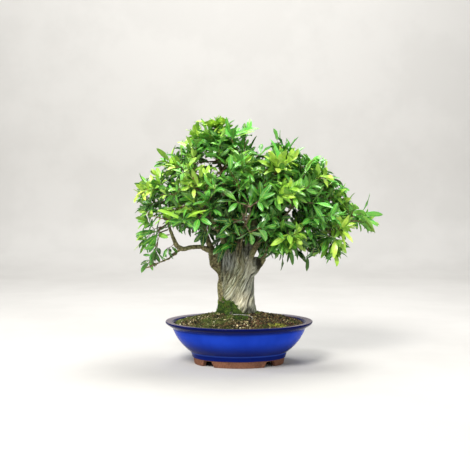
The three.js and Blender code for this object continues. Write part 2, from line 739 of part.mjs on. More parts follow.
// The triangles of a band between two loops, from one of the upper corners on, in one order of steps.
function bandFaces(lower, upper, start, order) {
  let a = 0;
  let b = 0;
  return [...order].flatMap((step) => {
    const [here, above] = [lower[a % lower.length], upper[(start + b) % upper.length]];
    if (step === "l") {
      a += 1;
      return [here, lower[a % lower.length], above];
    }
    b += 1;
    return [here, upper[(start + b) % upper.length], above];
  });
}

// Joins a loop of three or four corners to another with the band of triangles that holds the most.
function band(corners, faces, lower, upper) {
  const origin = corners[lower[0]];
  const [p, q, r] = [new THREE.Vector3(), new THREE.Vector3(), new THREE.Vector3()];
  const held = (found) => {
    let sum = 0;
    for (let i = 0; i < found.length; i += 3) {
      p.copy(corners[found[i]]).sub(origin);
      q.copy(corners[found[i + 1]]).sub(origin);
      r.copy(corners[found[i + 2]]).sub(origin);
      sum += p.dot(q.cross(r));
    }
    return sum;
  };
  const bands = upper.flatMap((_, start) => {
    return orders[`${lower.length}${upper.length}`].map((order) => bandFaces(lower, upper, start, order));
  });
  faces.push(...bands.reduce((best, found) => (held(found) > held(best) ? found : best)));
}

// A blade grown out of a loop of corners: a flat upper face between two sharp edges, and a keel
// under the midrib, running out to a point.
function growBlade(corners, faces, base, { ribs, face, halfWidth, keel }) {
  const put = (point) => corners.push(point) - 1;
  const [low, high] = bladeStations.map(([, share], i) => {
    const along = ribs[i + 2].clone().sub(ribs[i]).normalize();
    const beside = new THREE.Vector3().crossVectors(face, along).normalize();
    const reach = share * halfWidth;
    return {
      right: put(ribs[i + 1].clone().addScaledVector(beside, reach)),
      left: put(ribs[i + 1].clone().addScaledVector(beside, -reach)),
      down: beside.cross(along).normalize(),
    };
  });
  const ridge = put(ribs[1].clone().addScaledVector(low.down, keel));
  const tip = put(ribs.at(-1).clone());
  band(corners, faces, base, [low.right, low.left, ridge]);
  faces.push(low.right, low.left, high.left, low.right, high.left, high.right);
  faces.push(high.right, high.left, tip);
  faces.push(low.left, ridge, high.left, ridge, tip, high.left);
  faces.push(ridge, low.right, high.right, ridge, high.right, tip);
}

// The trunk and the limbs, then the stems, then the leaves, which all keep clear of one another.
function growShoots(limbLines) {
  const taken = Object.entries(limbLines).map(([name, limb]) => takenSpace(limbSolid(limb, clearance), name));
  taken.push(takenSpace(solidOf(trunkBody(clearance)), "trunk"));
  const shoots = growStems(limbLines, taken);
  shoots.forEach((shoot, i) => {
    const random = randomStream(seedBase + i);
    shoot.main.roll = random() * Math.PI;
    dressShoot(shoot, taken, random);
  });
  return clearShoots(shoots);
}

// The shoots as solids and with their names. One that would still meet another is left out.
function clearShoots(shoots) {
  const kept = [];
  const perLobe = {};
  for (const shoot of shoots) {
    const space = takenSpace(shootSolid(shoot), shoot.name);
    if (!isClear(space, kept, [])) continue;
    const lobe = shoot.site.lobe.name;
    perLobe[lobe] = (perLobe[lobe] ?? 0) + 1;
    kept.push({ ...space, ...shoot, name: `shoot_${lobe}_${perLobe[lobe]}` });
  }
  return kept;
}

// A stem or twig as part of a skin: four-sided, with each leaf or twig growing out of one of its sides.
// Without a base it starts with a flat end, and with one it grows out of that loop of corners.
function growBranch(corners, faces, base, branch) {
  const half = leaf.nodeLength / 2 / branch.length;
  const held = [...branch.leaves.filter((place) => !place.tip), ...branch.twigs];
  const shares = [...new Set(held.map((place) => place.share))].sort((a, b) => a - b);
  const bare = (shares[0] ?? 1) - half;
  const middle = bare > 0.4 ? [bare / 2] : [];
  const first = base ? [Math.min(0.25, bare / 2)] : [0, ...middle];
  const stops = [...first, ...shares.flatMap((share) => [share - half, share + half]), 1];
  const loops = stops.map((share) => {
    const centre = branch.axis.getPoint(share);
    const ring = [0, 1, 2, 3].map((corner) => {
      const spoke = sideOf(branch, share, corner - 0.5);
      return corners.push(centre.clone().addScaledVector(spoke, branch.radiusAt(share))) - 1;
    });
    return ring;
  });
  if (base) band(corners, faces, base, loops[0]);
  else faces.push(loops[0][0], loops[0][2], loops[0][1], loops[0][0], loops[0][3], loops[0][2]);
  for (let low = 0; low < loops.length - 1; low++) {
    const share = (stops[low] + stops[low + 1]) / 2;
    for (let side = 0; side < 4; side++) {
      const [a, b] = [loops[low][side], loops[low][(side + 1) % 4]];
      const [c, d] = [loops[low + 1][(side + 1) % 4], loops[low + 1][side]];
      const place = held.find((one) => Math.abs(one.share - share) < 1e-6 && one.side === side);
      if (place?.shape) growBlade(corners, faces, [a, b, c, d], place.shape);
      else if (place) growBranch(corners, faces, [a, b, c, d], place.branch);
      else faces.push(a, b, c, a, c, d);
    }
  }
  const end = loops.at(-1);
  const terminal = branch.leaves.find((place) => place.tip);
  if (terminal) growBlade(corners, faces, end, terminal.shape);
  else faces.push(end[0], end[1], end[2], end[0], end[2], end[3]);
}

// A shoot as one skin, cut to sit on its limb.
function shootSolid(shoot) {
  const corners = [];
  const faces = [];
  growBranch(corners, faces, null, shoot.main);
  const skin = new THREE.BufferGeometry().setFromPoints(corners);
  skin.setIndex(faces);
  return biggest(solidOf(skin).subtract(limbSolid(shoot.seat.limb, GAP * 1.2)));
}

// ================= The whole tree =================

const finish = (color, roughness) => new THREE.MeshStandardMaterial({ color, roughness, metalness: 0 });
const glaze = finish(0x1f3a9e, 0.18);
const plastic = finish(0x22241f, 0.6);
const wire = new THREE.MeshStandardMaterial({ color: 0x8a8680, roughness: 0.35, metalness: 0.9 });
const earth = finish(0x57503a, 0.95);
const wood = finish(0x8b8470, 0.85);
const grownLeaf = finish(0x2f7a2a, 0.35);
const youngLeaf = finish(0x86c02a, 0.4);

const limbLines = Object.fromEntries(
  Object.entries(limbs).map(([name, points]) => [name, limbCurve(points)]),
);
const woodSolid = wasm.Manifold.union([
  solidOf(trunkBody(0)),
  ...Object.values(limbLines).map((limb) => limbSolid(limb, 0)),
]);
const shoots = growShoots(limbLines);

const tree = new THREE.Group();
tree.add(meshOf("pot", makePot(), glaze));
tree.add(meshOf("soil", makeSoil(solidOf(trunkBody(GAP)), [-1, 1].map(screenPocket)), earth));
tree.add(meshOf("trunk", biggest(woodSolid), wood));
for (const [name, side] of [["left", -1], ["right", 1]]) {
  tree.add(meshOf(`drain_screen_${name}`, makeScreen(side), plastic));
  tree.add(meshOf(`screen_staple_${name}`, makeStaple(side), wire));
}
shoots.forEach((shoot, i) => {
  tree.add(meshOf(shoot.name, shoot.solid, i % youngEvery === 0 ? youngLeaf : grownLeaf));
});

const whole = new THREE.Box3().setFromObject(tree);
const middle = whole.getCenter(new THREE.Vector3());
tree.position.set(-middle.x, -middle.y, -whole.min.z);

export default tree;
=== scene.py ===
"""Looks of a pomegranate bonsai in an oval glazed pot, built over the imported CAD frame."""

import json
import math

import bmesh
import bpy
import numpy as np
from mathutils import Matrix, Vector


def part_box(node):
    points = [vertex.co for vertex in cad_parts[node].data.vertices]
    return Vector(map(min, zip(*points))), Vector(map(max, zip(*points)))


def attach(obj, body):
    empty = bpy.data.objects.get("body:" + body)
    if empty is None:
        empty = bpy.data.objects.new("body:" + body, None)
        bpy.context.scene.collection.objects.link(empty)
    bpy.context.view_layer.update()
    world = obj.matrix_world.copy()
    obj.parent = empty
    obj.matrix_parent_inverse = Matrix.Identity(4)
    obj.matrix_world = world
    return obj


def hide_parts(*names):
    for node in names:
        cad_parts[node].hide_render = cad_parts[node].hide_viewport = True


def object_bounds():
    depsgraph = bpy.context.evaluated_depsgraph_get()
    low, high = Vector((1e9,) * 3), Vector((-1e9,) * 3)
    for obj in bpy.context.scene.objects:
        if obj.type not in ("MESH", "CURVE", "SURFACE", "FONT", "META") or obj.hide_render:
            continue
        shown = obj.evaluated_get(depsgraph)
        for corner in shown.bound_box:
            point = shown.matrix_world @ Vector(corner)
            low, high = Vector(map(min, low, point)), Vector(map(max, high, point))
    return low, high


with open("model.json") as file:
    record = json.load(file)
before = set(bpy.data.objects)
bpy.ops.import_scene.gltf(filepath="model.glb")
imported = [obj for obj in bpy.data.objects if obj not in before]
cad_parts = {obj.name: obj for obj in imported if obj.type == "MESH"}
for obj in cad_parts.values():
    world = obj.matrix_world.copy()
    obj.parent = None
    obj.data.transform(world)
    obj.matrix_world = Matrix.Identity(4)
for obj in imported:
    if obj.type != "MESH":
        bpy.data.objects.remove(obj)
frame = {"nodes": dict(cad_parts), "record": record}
cad_low, cad_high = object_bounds()
mm = 0.001

# =====================================================================================
# Pot
# A shallow oval bowl cast in stoneware clay, with a turned-out lip and a foot ring cut
# into four feet. It is dipped in cobalt glaze down to the ring, and the feet stay bare.
# =====================================================================================


def bent(start, middle, end, t):
    """The quadratic curve from `start` to `end` that `middle` pulls aside, at the shares `t`."""
    return (1 - t) ** 2 * start + 2 * t * (1 - t) * middle + t**2 * end


def curve_between(start, middle, end, steps):
    """Evenly stepped points of a quadratic curve."""
    t = np.linspace(0.0, 1.0, steps)[:, None]
    return bent(np.array(start), np.array(middle), np.array(end), t)


def rounded(corners, cut, steps):
    """The profile through `corners` with each inner corner replaced by a quadratic curve
    that leaves and joins its two sides at most `cut` from the corner."""
    corners, cut = np.array(corners, float), np.array(cut)[:, None]
    here = corners[1:-1]
    back, ahead = corners[:-2] - here, corners[2:] - here
    start = here + back * np.minimum(cut / np.linalg.norm(back, axis=1, keepdims=True), 0.45)
    end = here + ahead * np.minimum(cut / np.linalg.norm(ahead, axis=1, keepdims=True), 0.45)
    curve = bent(start, here, end, np.linspace(0.0, 1.0, steps)[:, None, None])
    inner = curve.transpose(1, 0, 2).reshape(-1, 2)
    return np.vstack([corners[:1], inner, corners[-1:]])


def build_mesh(name, points, faces):
    """A mesh of points in millimetres and of faces that all have the same number of corners."""
    faces = np.asarray(faces, dtype=np.int32)
    mesh = bpy.data.meshes.new(name)
    mesh.vertices.add(len(points))
    mesh.vertices.foreach_set("co", (np.asarray(points) * mm).astype(np.float32).ravel())
    mesh.loops.add(faces.size)
    mesh.loops.foreach_set("vertex_index", faces.ravel())
    mesh.polygons.add(len(faces))
    starts = np.arange(len(faces), dtype=np.int32) * faces.shape[1]
    mesh.polygons.foreach_set("loop_start", starts)
    mesh.update(calc_edges=True)
    mesh.validate()
    return mesh


def band_faces(rows, columns):
    """Four-cornered faces of a grid whose rows close on themselves, outwards where the rows
    run round counter-clockwise and climb."""
    row, column = np.meshgrid(np.arange(rows - 1), np.arange(columns), indexing="ij")
    near = row * columns + column
    beside = row * columns + (column + 1) % columns
    return np.stack([near, beside, beside + columns, near + columns], axis=-1).reshape(-1, 4)


def stand(name, data):
    """A new object in the scene, at the origin."""
    thing = bpy.data.objects.new(name, data)
    bpy.context.scene.collection.objects.link(thing)
    return thing


def add_piece(name, mesh, material, smooth_angle=60.0):
    """Puts a finished mesh into the scene as a piece of the standing body."""
    piece = stand(name, mesh)
    mesh.materials.clear()
    mesh.materials.append(material)
    mesh.polygons.foreach_set("use_smooth", np.ones(len(mesh.polygons), dtype=bool))
    mesh.set_sharp_from_angle(angle=math.radians(smooth_angle))
    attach(piece, "root")
    return piece


def connect(tree, node, inputs):
    """Gives a node its inputs: another node's output is linked, and anything else is set on
    the node's own socket."""
    for key, value in inputs.items():
        if isinstance(value, bpy.types.NodeSocket):
            tree.links.new(value, node.inputs[key])
        else:
            node.inputs[key].default_value = value


def put(tree, kind, inputs=None, **settings):
    """Adds a shader node with its settings and its inputs."""
    node = tree.nodes.new(kind)
    for key, value in settings.items():
        setattr(node, key, value)
    connect(tree, node, inputs or {})
    return node


def paint(red, green, blue):
    """A colour on the usual scale to 255 as linear light."""
    share = np.array([red, green, blue]) / 255.0
    linear = np.where(share <= 0.04045, share / 12.92, ((share + 0.055) / 1.055) ** 2.4)
    return (*linear.tolist(), 1.0)


def ramp(tree, factor, stops):
    """A colour ramp driven by `factor`, through (place, colour) stops."""
    node = put(tree, "ShaderNodeValToRGB", {"Fac": factor})
    elements = node.color_ramp.elements
    while len(elements) < len(stops):
        elements.new(0.5)
    for element, (place, colour) in zip(elements, stops):
        element.position = place
        element.color = colour
    return node.outputs["Color"]


def mix(tree, factor, first, second):
    """A blend of two colours."""
    colours = {0: factor, 6: first, 7: second}
    return put(tree, "ShaderNodeMix", colours, data_type="RGBA").outputs[2]


def maths(tree, operation, first, second=0.0):
    """One arithmetic step on two values."""
    return put(tree, "ShaderNodeMath", {0: first, 1: second}, operation=operation).outputs["Value"]


def times(tree, first, second):
    """The product of two values."""
    return maths(tree, "MULTIPLY", first, second)


def tint(tree, base, mask, amount, colour):
    """A colour laid over another where a mask says, and by `amount` at most."""
    return mix(tree, times(tree, mask, amount), base, colour)


def between(tree, value, low, high, to_low=0.0, to_high=1.0):
    """A smooth step of a value between two limits."""
    limits = {"From Min": low, "From Max": high, "To Min": to_low, "To Max": to_high}
    step = {"Value": value, **limits}
    node = put(tree, "ShaderNodeMapRange", step, interpolation_type="SMOOTHSTEP")
    return node.outputs["Result"]


def axis_of(tree, vector, axis):
    """One of a vector's three numbers."""
    return put(tree, "ShaderNodeSeparateXYZ", {"Vector": vector}).outputs[axis]


def noise(tree, place, scale, detail, roughness=0.5):
    """Fractal noise from 0 to 1."""
    inputs = {"Vector": place, "Scale": scale, "Detail": detail, "Roughness": roughness}
    return put(tree, "ShaderNodeTexNoise", inputs).outputs["Fac"]


def bumps(tree, height, strength, distance):
    """The normal that a height gives a surface."""
    inputs = {"Height": height, "Strength": strength, "Distance": distance}
    return put(tree, "ShaderNodeBump", inputs).outputs["Normal"]


def new_material(name):
    """An empty material as itself, its node tree, its shader and its object coordinates."""
    material = bpy.data.materials.new(name)
    material.use_nodes = True
    tree = material.node_tree
    tree.nodes.clear()
    shader = put(tree, "ShaderNodeBsdfPrincipled")
    put(tree, "ShaderNodeOutputMaterial", {"Surface": shader.outputs["BSDF"]})
    place = put(tree, "ShaderNodeTexCoord").outputs["Object"]
    return material, tree, shader, place


def surface(tree, shader, colour, roughness, **others):
    """Gives a shader its colour, its roughness and what else it takes."""
    sockets = {"specular": "Specular IOR Level", "metallic": "Metallic", "normal": "Normal"}
    others = {sockets[key]: value for key, value in others.items()}
    connect(tree, shader, {"Base Color": colour, "Roughness": roughness, **others})


def make_mottle():
    """A shared group: fractal noise at a scale, stepped smoothly between two limits."""
    group = bpy.data.node_groups.new("mottle", "ShaderNodeTree")
    group.interface.new_socket(name="Place", in_out="INPUT", socket_type="NodeSocketVector")
    for name, value in (("Scale", 50.0), ("Detail", 4.0), ("Low", 0.4), ("High", 0.6)):
        socket = group.interface.new_socket(
            name=name, in_out="INPUT", socket_type="NodeSocketFloat"
        )
        socket.default_value = value
    group.interface.new_socket(name="Mask", in_out="OUTPUT", socket_type="NodeSocketFloat")
    given = put(group, "NodeGroupInput").outputs
    cloud = noise(group, given["Place"], given["Scale"], given["Detail"], 0.6)
    mask = between(group, cloud, given["Low"], given["High"])
    put(group, "NodeGroupOutput", {"Mask": mask})
    return group


mottle_group = make_mottle()


def mottle(tree, place, scale, low=0.4, high=0.6, detail=4.0):
    """The mottle group in a material, as its mask."""
    inputs = {"Place": place, "Scale": scale, "Detail": detail, "Low": low, "High": high}
    return put(tree, "ShaderNodeGroup", inputs, node_tree=mottle_group).outputs["Mask"]


def mottled(tree, place, first, second, *step):
    """Two colours in patches, with the mottle's scale and limits."""
    return mix(tree, mottle(tree, place, *step), first, second)


pot_low, pot_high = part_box("pot")
pot_x = (pot_low.x + pot_high.x) / 2 / mm
pot_y = (pot_low.y + pot_high.y) / 2 / mm
pot_middle = np.array([pot_x, pot_y, 0.0])
foot_length, foot_width = 98.0, 70.0  # half sizes of the foot ring, seen from above
slot_x, slot_y = 66, 51  # from the pot's middle to each gap between two feet
drain_x, drain_radius = 47, 11
soil_length, soil_width = 137.5, 109.5  # half sizes of the soil, seen from above
trunk_x = -5  # the middle of the trunk's foot, from the pot's middle


def oval_half_width(length):
    """An oval's half width for its half length: in proportion inside the foot ring, and the
    same distance from the ring all round outside it."""
    within = length * foot_width / foot_length
    return np.where(length < foot_length, within, length - (foot_length - foot_width))


def oval_rings(lengths, columns):
    """Rings about the pot's middle: x is a half length times the cosine of the turn, and y
    its half width times the sine."""
    turn = np.linspace(0, 2 * np.pi, columns, endpoint=False)
    lengths = lengths[:, None]
    return lengths * np.cos(turn), oval_half_width(lengths) * np.sin(turn)


def standing_points(x, y, z):
    """Grid points from their places about the pot's middle and their heights."""
    return np.stack([x + pot_x, y + pot_y, np.broadcast_to(z, x.shape)], axis=-1).reshape(-1, 3)


# the wall's profile from the middle of the floor's under side round to its upper side, as
# half lengths and heights
inner_curve = (93, 22), (124.5, 44), (137.5, 85.5)
outer_wall = curve_between((102, 25), (131, 46), (141.6, 77), 26)
inner_wall = curve_between(*inner_curve, 26)[::-1]
foot_corners = (0.4, 13.5), (87, 13.5), (87, 0), (95, 0), (97, 13.5), (98.8, 14.1), (101.4, 23)
lip_corners = (141.6, 77), (152.5, 83.5), (156.4, 87.5), (155.4, 90.9), (141.5, 89.5)
floor_corners = (93, 22), (60, 22), (0.4, 22)
foot_cuts, lip_cuts = [1.0, 1.2, 1.6, 1.0, 1.0, 1.4, 1.6], [5.0, 3.5, 2.4, 2.0, 2.4, 2.0]
pot_profile = np.vstack(
    [
        rounded([*foot_corners, *outer_wall[:2]], foot_cuts, 5)[:-1],
        outer_wall[1:-1],
        rounded([outer_wall[-2], *lip_corners, *inner_wall[:2]], lip_cuts, 7)[1:-1],
        inner_wall[1:-1],
        rounded([inner_wall[-2], *floor_corners], [6.0, 2.0], 5)[1:],
    ]
)
pot_columns = 200
pot_points = standing_points(*oval_rings(pot_profile[:, 0], pot_columns), pot_profile[:, 1:])
pot_quads = build_mesh("pot_body", pot_points, band_faces(len(pot_profile), pot_columns))


def closed_copy(mesh, name):
    """The mesh with its two end loops filled by triangles, and all its faces outwards."""
    work = bmesh.new()
    work.from_mesh(mesh)
    rims = [edge for edge in work.edges if edge.is_boundary]
    bmesh.ops.holes_fill(work, edges=rims, sides=0)
    bmesh.ops.triangulate(work, faces=[face for face in work.faces if len(face.verts) > 4])
    bmesh.ops.recalc_face_normals(work, faces=work.faces)
    closed = bpy.data.meshes.new(name)
    work.to_mesh(closed)
    work.free()
    return closed


def prism(outline, low, high):
    """A straight prism of an outline in plan or elevation, as points and triangles: two end
    fans from the first corner and a wall of two triangles a side. `low` and `high` give the
    third coordinate's two values, and the outline runs counter-clockwise seen from `high`."""
    count = len(outline)
    here = np.arange(count)
    after = (here + 1) % count
    ends = [np.column_stack([outline, np.full(count, level)]) for level in (low, high)]
    wall = [(here, after, after + count), (here, after + count, here + count)]
    fan = np.column_stack([np.zeros(count - 2, int), here[1:-1], here[2:]])
    return np.vstack(ends), np.vstack([*map(np.column_stack, wall), fan[:, ::-1], fan + count])


def after_modifiers(mesh, name, modifiers):
    """The mesh as a list of modifiers leaves it, each given as its kind and its settings."""
    body = stand(name, mesh)
    for kind, settings in modifiers:
        modifier = body.modifiers.new(kind.lower(), kind)
        for key, value in settings.items():
            setattr(modifier, key, value)
    bpy.context.view_layer.update()
    graph = bpy.context.evaluated_depsgraph_get()
    made = bpy.data.meshes.new_from_object(body.evaluated_get(graph))
    bpy.data.objects.remove(body)
    return made


def cut_away(mesh, cutters, name):
    """The mesh with each cutter's space taken out of it."""
    tools = [stand("cutter", build_mesh("cutter", *cutter)) for cutter in cutters]
    way = {"operation": "DIFFERENCE", "solver": "MANIFOLD"}
    cut = after_modifiers(mesh, name, [("BOOLEAN", {**way, "object": tool}) for tool in tools])
    for tool in tools:
        bpy.data.objects.remove(tool)
    return cut


slot_outline = np.array(
    [
        (-14, -1), (14, -1), (10, 10.6), (9.4, 11.8),
        (8, 12.6), (-8, 12.6), (-9.4, 11.8), (-10, 10.6),
    ]
)


def foot_slot(side, face):
    """The gap between two feet: a slot whose ends lean outwards at the table, square to the
    line from the middle of the pot. Its outline stands upright, and the prism runs along it."""
    flat, faces = prism(slot_outline, -17.0, 17.0)
    along, upright, reach = flat.T
    angle = math.atan2(face * slot_y, side * slot_x)
    x = side * slot_x + pot_x + reach * math.cos(angle) - along * math.sin(angle)
    y = face * slot_y + pot_y + reach * math.sin(angle) + along * math.cos(angle)
    return np.column_stack([x, y, upright]), faces


def drain_cutter(side):
    """A round drain hole through the pot's floor."""
    ring = np.linspace(0, 2 * np.pi, 48, endpoint=False)
    x = side * drain_x + pot_x + drain_radius * np.cos(ring)
    return prism(np.column_stack([x, pot_y + drain_radius * np.sin(ring)]), 5.0, 30.0)


pot_cutters = [foot_slot(side, face) for side in (-1, 1) for face in (-1, 1)]
pot_cutters += [drain_cutter(side) for side in (-1, 1)]
pot_mesh = cut_away(closed_copy(pot_quads, "pot_closed"), pot_cutters, "pot_whole")

pot_glaze, tree, shader, place = new_material("cobalt_glaze")
normal = put(tree, "ShaderNodeNewGeometry").outputs["Normal"]
height, facing = axis_of(tree, place, "Z"), axis_of(tree, normal, "Z")
blue = mottled(tree, place, paint(20, 58, 180), paint(30, 70, 200), 20.0, 0.2, 0.8, 2.0)
# painted shade: the glaze is painted darker towards the foot and in a band under the lip,
# where the lip shades the wall
painted_shade_low, painted_shade_under_lip = between(tree, height, 0.060, 0.028), between(tree, height, 0.072, 0.079)
blue = tint(tree, blue, maths(tree, "MAXIMUM", painted_shade_low, painted_shade_under_lip), 0.86, paint(1, 14, 80))
# painted highlight: a paler line along the ridge above the foot
painted_ridge_highlight = times(tree, between(tree, height, 0.0222, 0.0240), between(tree, height, 0.0272, 0.0252))
blue = tint(tree, blue, painted_ridge_highlight, 0.5, paint(56, 88, 190))
# painted shade: from the lip's under side upwards the glaze is painted a deep navy
blue = tint(tree, blue, between(tree, height, 0.079, 0.084), 0.82, paint(2, 6, 64))
blue = tint(tree, blue, mottle(tree, place, 900.0, 0.66, 0.74, 2.0), 0.1, paint(90, 112, 190))
# the upper face of the lip is rubbed to a dusty lilac, which also carries a painted reflection,
# most of all at its two ends
wear_and_painted_sheen = times(tree, between(tree, height, 0.0884, 0.0902), between(tree, facing, 0.72, 0.95))
wear_and_painted_sheen = times(tree, wear_and_painted_sheen, mottle(tree, place, 120.0, 0.12, 0.5))
# painted reflection: the lilac grows towards the lip's two ends, where the lip is seen at a grazing
# angle
painted_sheen_at_ends = maths(tree, "SUBTRACT", axis_of(tree, place, "X"), pot_x * mm)
painted_sheen_at_ends = between(tree, maths(tree, "ABSOLUTE", painted_sheen_at_ends), 0.07, 0.12, 0.28, 1.0)
wear_and_painted_sheen = times(tree, wear_and_painted_sheen, painted_sheen_at_ends)
blue = tint(tree, blue, wear_and_painted_sheen, 0.95, paint(128, 120, 126))
clay = mottled(tree, place, paint(104, 68, 52), paint(140, 98, 76), 420.0, 0.3, 0.7)
clay = tint(tree, clay, mottle(tree, place, 60.0, 0.45, 0.7), 0.5, paint(78, 56, 50))
# the glaze ends in a slightly wavy line at the top of the feet
line = maths(tree, "ADD", height, times(tree, noise(tree, place, 55.0, 2.0), -0.0018))
bare = between(tree, line, 0.0136, 0.0128)
# and the floor is wiped clean of it underneath
wiped = times(tree, between(tree, facing, -0.7, -0.95), between(tree, height, 0.0145, 0.0138))
bare = maths(tree, "MAXIMUM", bare, wiped)
surface(
    tree,
    shader,
    mix(tree, bare, blue, clay),
    maths(tree, "MAXIMUM", between(tree, bare, 0.0, 1.0, 0.2, 0.85), times(tree, wear_and_painted_sheen, 0.55)),
    specular=0.05,
    normal=bumps(tree, noise(tree, place, 180.0, 5.0), 0.16, 0.0008),
)

pot_piece = add_piece("pot_glazed", pot_mesh, pot_glaze, 38.0)
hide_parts("pot")

# =====================================================================================
# Drain screens and their staples
# A square of moulded black plastic mesh over each drain hole keeps the soil in. A bent
# galvanised wire holds it: over the mesh, down through the hole and out under the floor.
# =====================================================================================

screen_plastic, tree, shader, place = new_material("screen_plastic")
dust = mottle(tree, place, 300.0, 0.45, 0.75)
surface(
    tree,
    shader,
    mix(tree, dust, paint(26, 27, 25), paint(58, 54, 46)),
    between(tree, dust, 0.0, 1.0, 0.42, 0.8),
    normal=bumps(tree, noise(tree, place, 1400.0, 2.0), 0.3, 0.0002),
)

staple_wire, tree, shader, place = new_material("galvanised_wire")
rust = mottle(tree, place, 260.0, 0.52, 0.66)
surface(
    tree,
    shader,
    mix(tree, rust, paint(150, 148, 142), paint(112, 74, 48)),
    between(tree, rust, 0.0, 1.0, 0.34, 0.8),
    metallic=between(tree, rust, 0.0, 1.0, 0.95, 0.15),
)

for side in ("left", "right"):
    for part, material in (("drain_screen", screen_plastic), ("screen_staple", staple_wire)):
        cad_mesh = frame["nodes"][f"{part}_{side}"].data
        cad_mesh.materials.clear()
        cad_mesh.materials.append(material)

# =====================================================================================
# Soil
# Loose potting mix, mounded against the trunk: broken baked clay, pumice and bark two to
# five millimetres across, with green algae on it. It fills the pot to just under the lip.
# =====================================================================================


def hashed(cells, seed):
    """A random number from 0 to 1 for each row of three whole numbers: the row is folded
    into one 64-bit number, which is then scrambled by shifts and products."""
    whole = cells.astype(np.int64).astype(np.uint64)
    keys = np.array([0x9E3779B185EBCA87, 0xC2B2AE3D27D4EB4F, 0x165667B19E3779F9], dtype=np.uint64)
    mixed = whole[:, 0] * keys[0] ^ whole[:, 1] * keys[1] ^ whole[:, 2] * keys[2]
    mixed ^= np.uint64(seed * 7919 + 17)
    mixed ^= mixed >> np.uint64(31)
    mixed *= keys[1]
    mixed ^= mixed >> np.uint64(27)
    mixed *= keys[0]
    mixed ^= mixed >> np.uint64(33)
    return (mixed >> np.uint64(40)).astype(float) / 2.0**24


def value_noise(points, seed):
    """Smooth random values from 0 to 1: hashed numbers at the corners of each unit cell,
    blended across it by smooth steps."""
    cell = np.floor(points)
    part = points - cell
    blend = part * part * (3.0 - 2.0 * part)
    total = np.zeros(len(points))
    for corner in np.ndindex(2, 2, 2):
        side = np.array(corner)
        weight = np.where(side == 1, blend, 1.0 - blend).prod(axis=1)
        total += weight * hashed(cell + side, seed)
    return total


def layered_noise(points, seed, layers):
    """Value noise in layers of twice the fineness and half the height, from 0 to 1."""
    sizes = 0.5 ** np.arange(layers)
    total = sum(size * value_noise(points / size, seed + layer) for layer, size in enumerate(sizes))
    return total / sizes.sum()


def set_values(mesh, **layers):
    """Stores one number, or one vector, for each vertex under each name."""
    for name, values in layers.items():
        values = np.asarray(values, dtype=np.float32)
        kind, key = ("FLOAT", "value") if values.ndim == 1 else ("FLOAT_VECTOR", "vector")
        mesh.attributes.new(name, kind, "POINT").data.foreach_set(key, values.ravel())


def soil_height(x, y):
    """Height of the soil over the table: a mound that falls off with the 1.6th power of the
    share of the way to the wall, with low lumps on it."""
    share = np.minimum(np.hypot(x / soil_length, y / soil_width), 1.0)
    flat = np.column_stack([x / 13.0, y / 13.0, np.zeros(len(x))])
    lumps = layered_noise(flat, 31, 2) - 0.5
    return 84.3 + 25.0 * (1.0 - share**1.6) + 4.5 * lumps * (1.0 - share**8)


def repeated(pattern, count, size):
    """A pattern of triangles `count` times over, each time `size` corners further on."""
    return (np.arange(count)[:, None, None] * size + pattern).reshape(-1, 3)


def lumps_at(centres, radii, stretch, roughness, random):
    """Twenty-faced lumps: the twelve corners of an icosahedron, each pushed in or out at
    random, scaled by the lump's radius and its stretch along three axes, and turned."""
    golden = (1 + 5**0.5) / 2
    base = np.array(
        [
            (-1, golden, 0), (1, golden, 0), (-1, -golden, 0), (1, -golden, 0),
            (0, -1, golden), (0, 1, golden), (0, -1, -golden), (0, 1, -golden),
            (golden, 0, -1), (golden, 0, 1), (-golden, 0, -1), (-golden, 0, 1),
        ]
    ) / math.hypot(1, golden)
    sides = np.array(
        [
            (0, 11, 5), (0, 5, 1), (0, 1, 7), (0, 7, 10), (0, 10, 11), (1, 5, 9), (5, 11, 4),
            (11, 10, 2), (10, 7, 6), (7, 1, 8), (3, 9, 4), (3, 4, 2), (3, 2, 6), (3, 6, 8),
            (3, 8, 9), (4, 9, 5), (2, 4, 11), (6, 2, 10), (8, 6, 7), (9, 8, 1),
        ]
    )
    count = len(centres)
    push = 1.0 + roughness * (random.random((count, 12, 1)) - 0.5)
    local = base * push * radii[:, None, None] * stretch[:, None, :]
    yaw, pitch = random.random((2, count)) * 2 * np.pi
    cy, sy, cp, sp = np.cos(yaw), np.sin(yaw), np.cos(pitch), np.sin(pitch)
    zero, one = np.zeros(count), np.ones(count)
    about_z = np.array([[cy, -sy, zero], [sy, cy, zero], [zero, zero, one]]).transpose(2, 0, 1)
    about_x = np.array([[one, zero, zero], [zero, cp, -sp], [zero, sp, cp]]).transpose(2, 0, 1)
    turned = np.einsum("nij,nkj->nki", about_z @ about_x, local)
    points = (turned + centres[:, None, :]).reshape(-1, 3)
    return points, repeated(sides, count, 12)


def values_of(items, key, width, kind=float):
    """What each item of a mesh holds under `key`, as rows of `width` numbers."""
    values = np.empty(len(items) * width, dtype=kind)
    items.foreach_get(key, values)
    return values.reshape(-1, width)


def mesh_parts(mesh):
    """A mesh's corners in millimetres and its triangles."""
    mesh.calc_loop_triangles()
    triangles = values_of(mesh.loop_triangles, "vertices", 3, np.int32)
    return values_of(mesh.vertices, "co", 3) / mm, triangles


def joined(parts):
    """Several sets of points and triangles as one."""
    starts = np.cumsum([0] + [len(points) for points, _ in parts[:-1]])
    faces = [triangles + start for (_, triangles), start in zip(parts, starts)]
    return np.vstack([points for points, _ in parts]), np.vstack(faces)


soil_columns = 120
soil_wall = curve_between(*inner_curve, 12)[1:] - np.array([0.7, 0.0])
soil_rings = soil_wall[-1, 0] * np.linspace(1.0, 0.004, 44)[1:]
soil_lengths = np.concatenate([[0.5, 60.0, 94.5], soil_wall[:, 0], soil_rings])
soil_x, soil_y = oval_rings(soil_lengths, soil_columns)
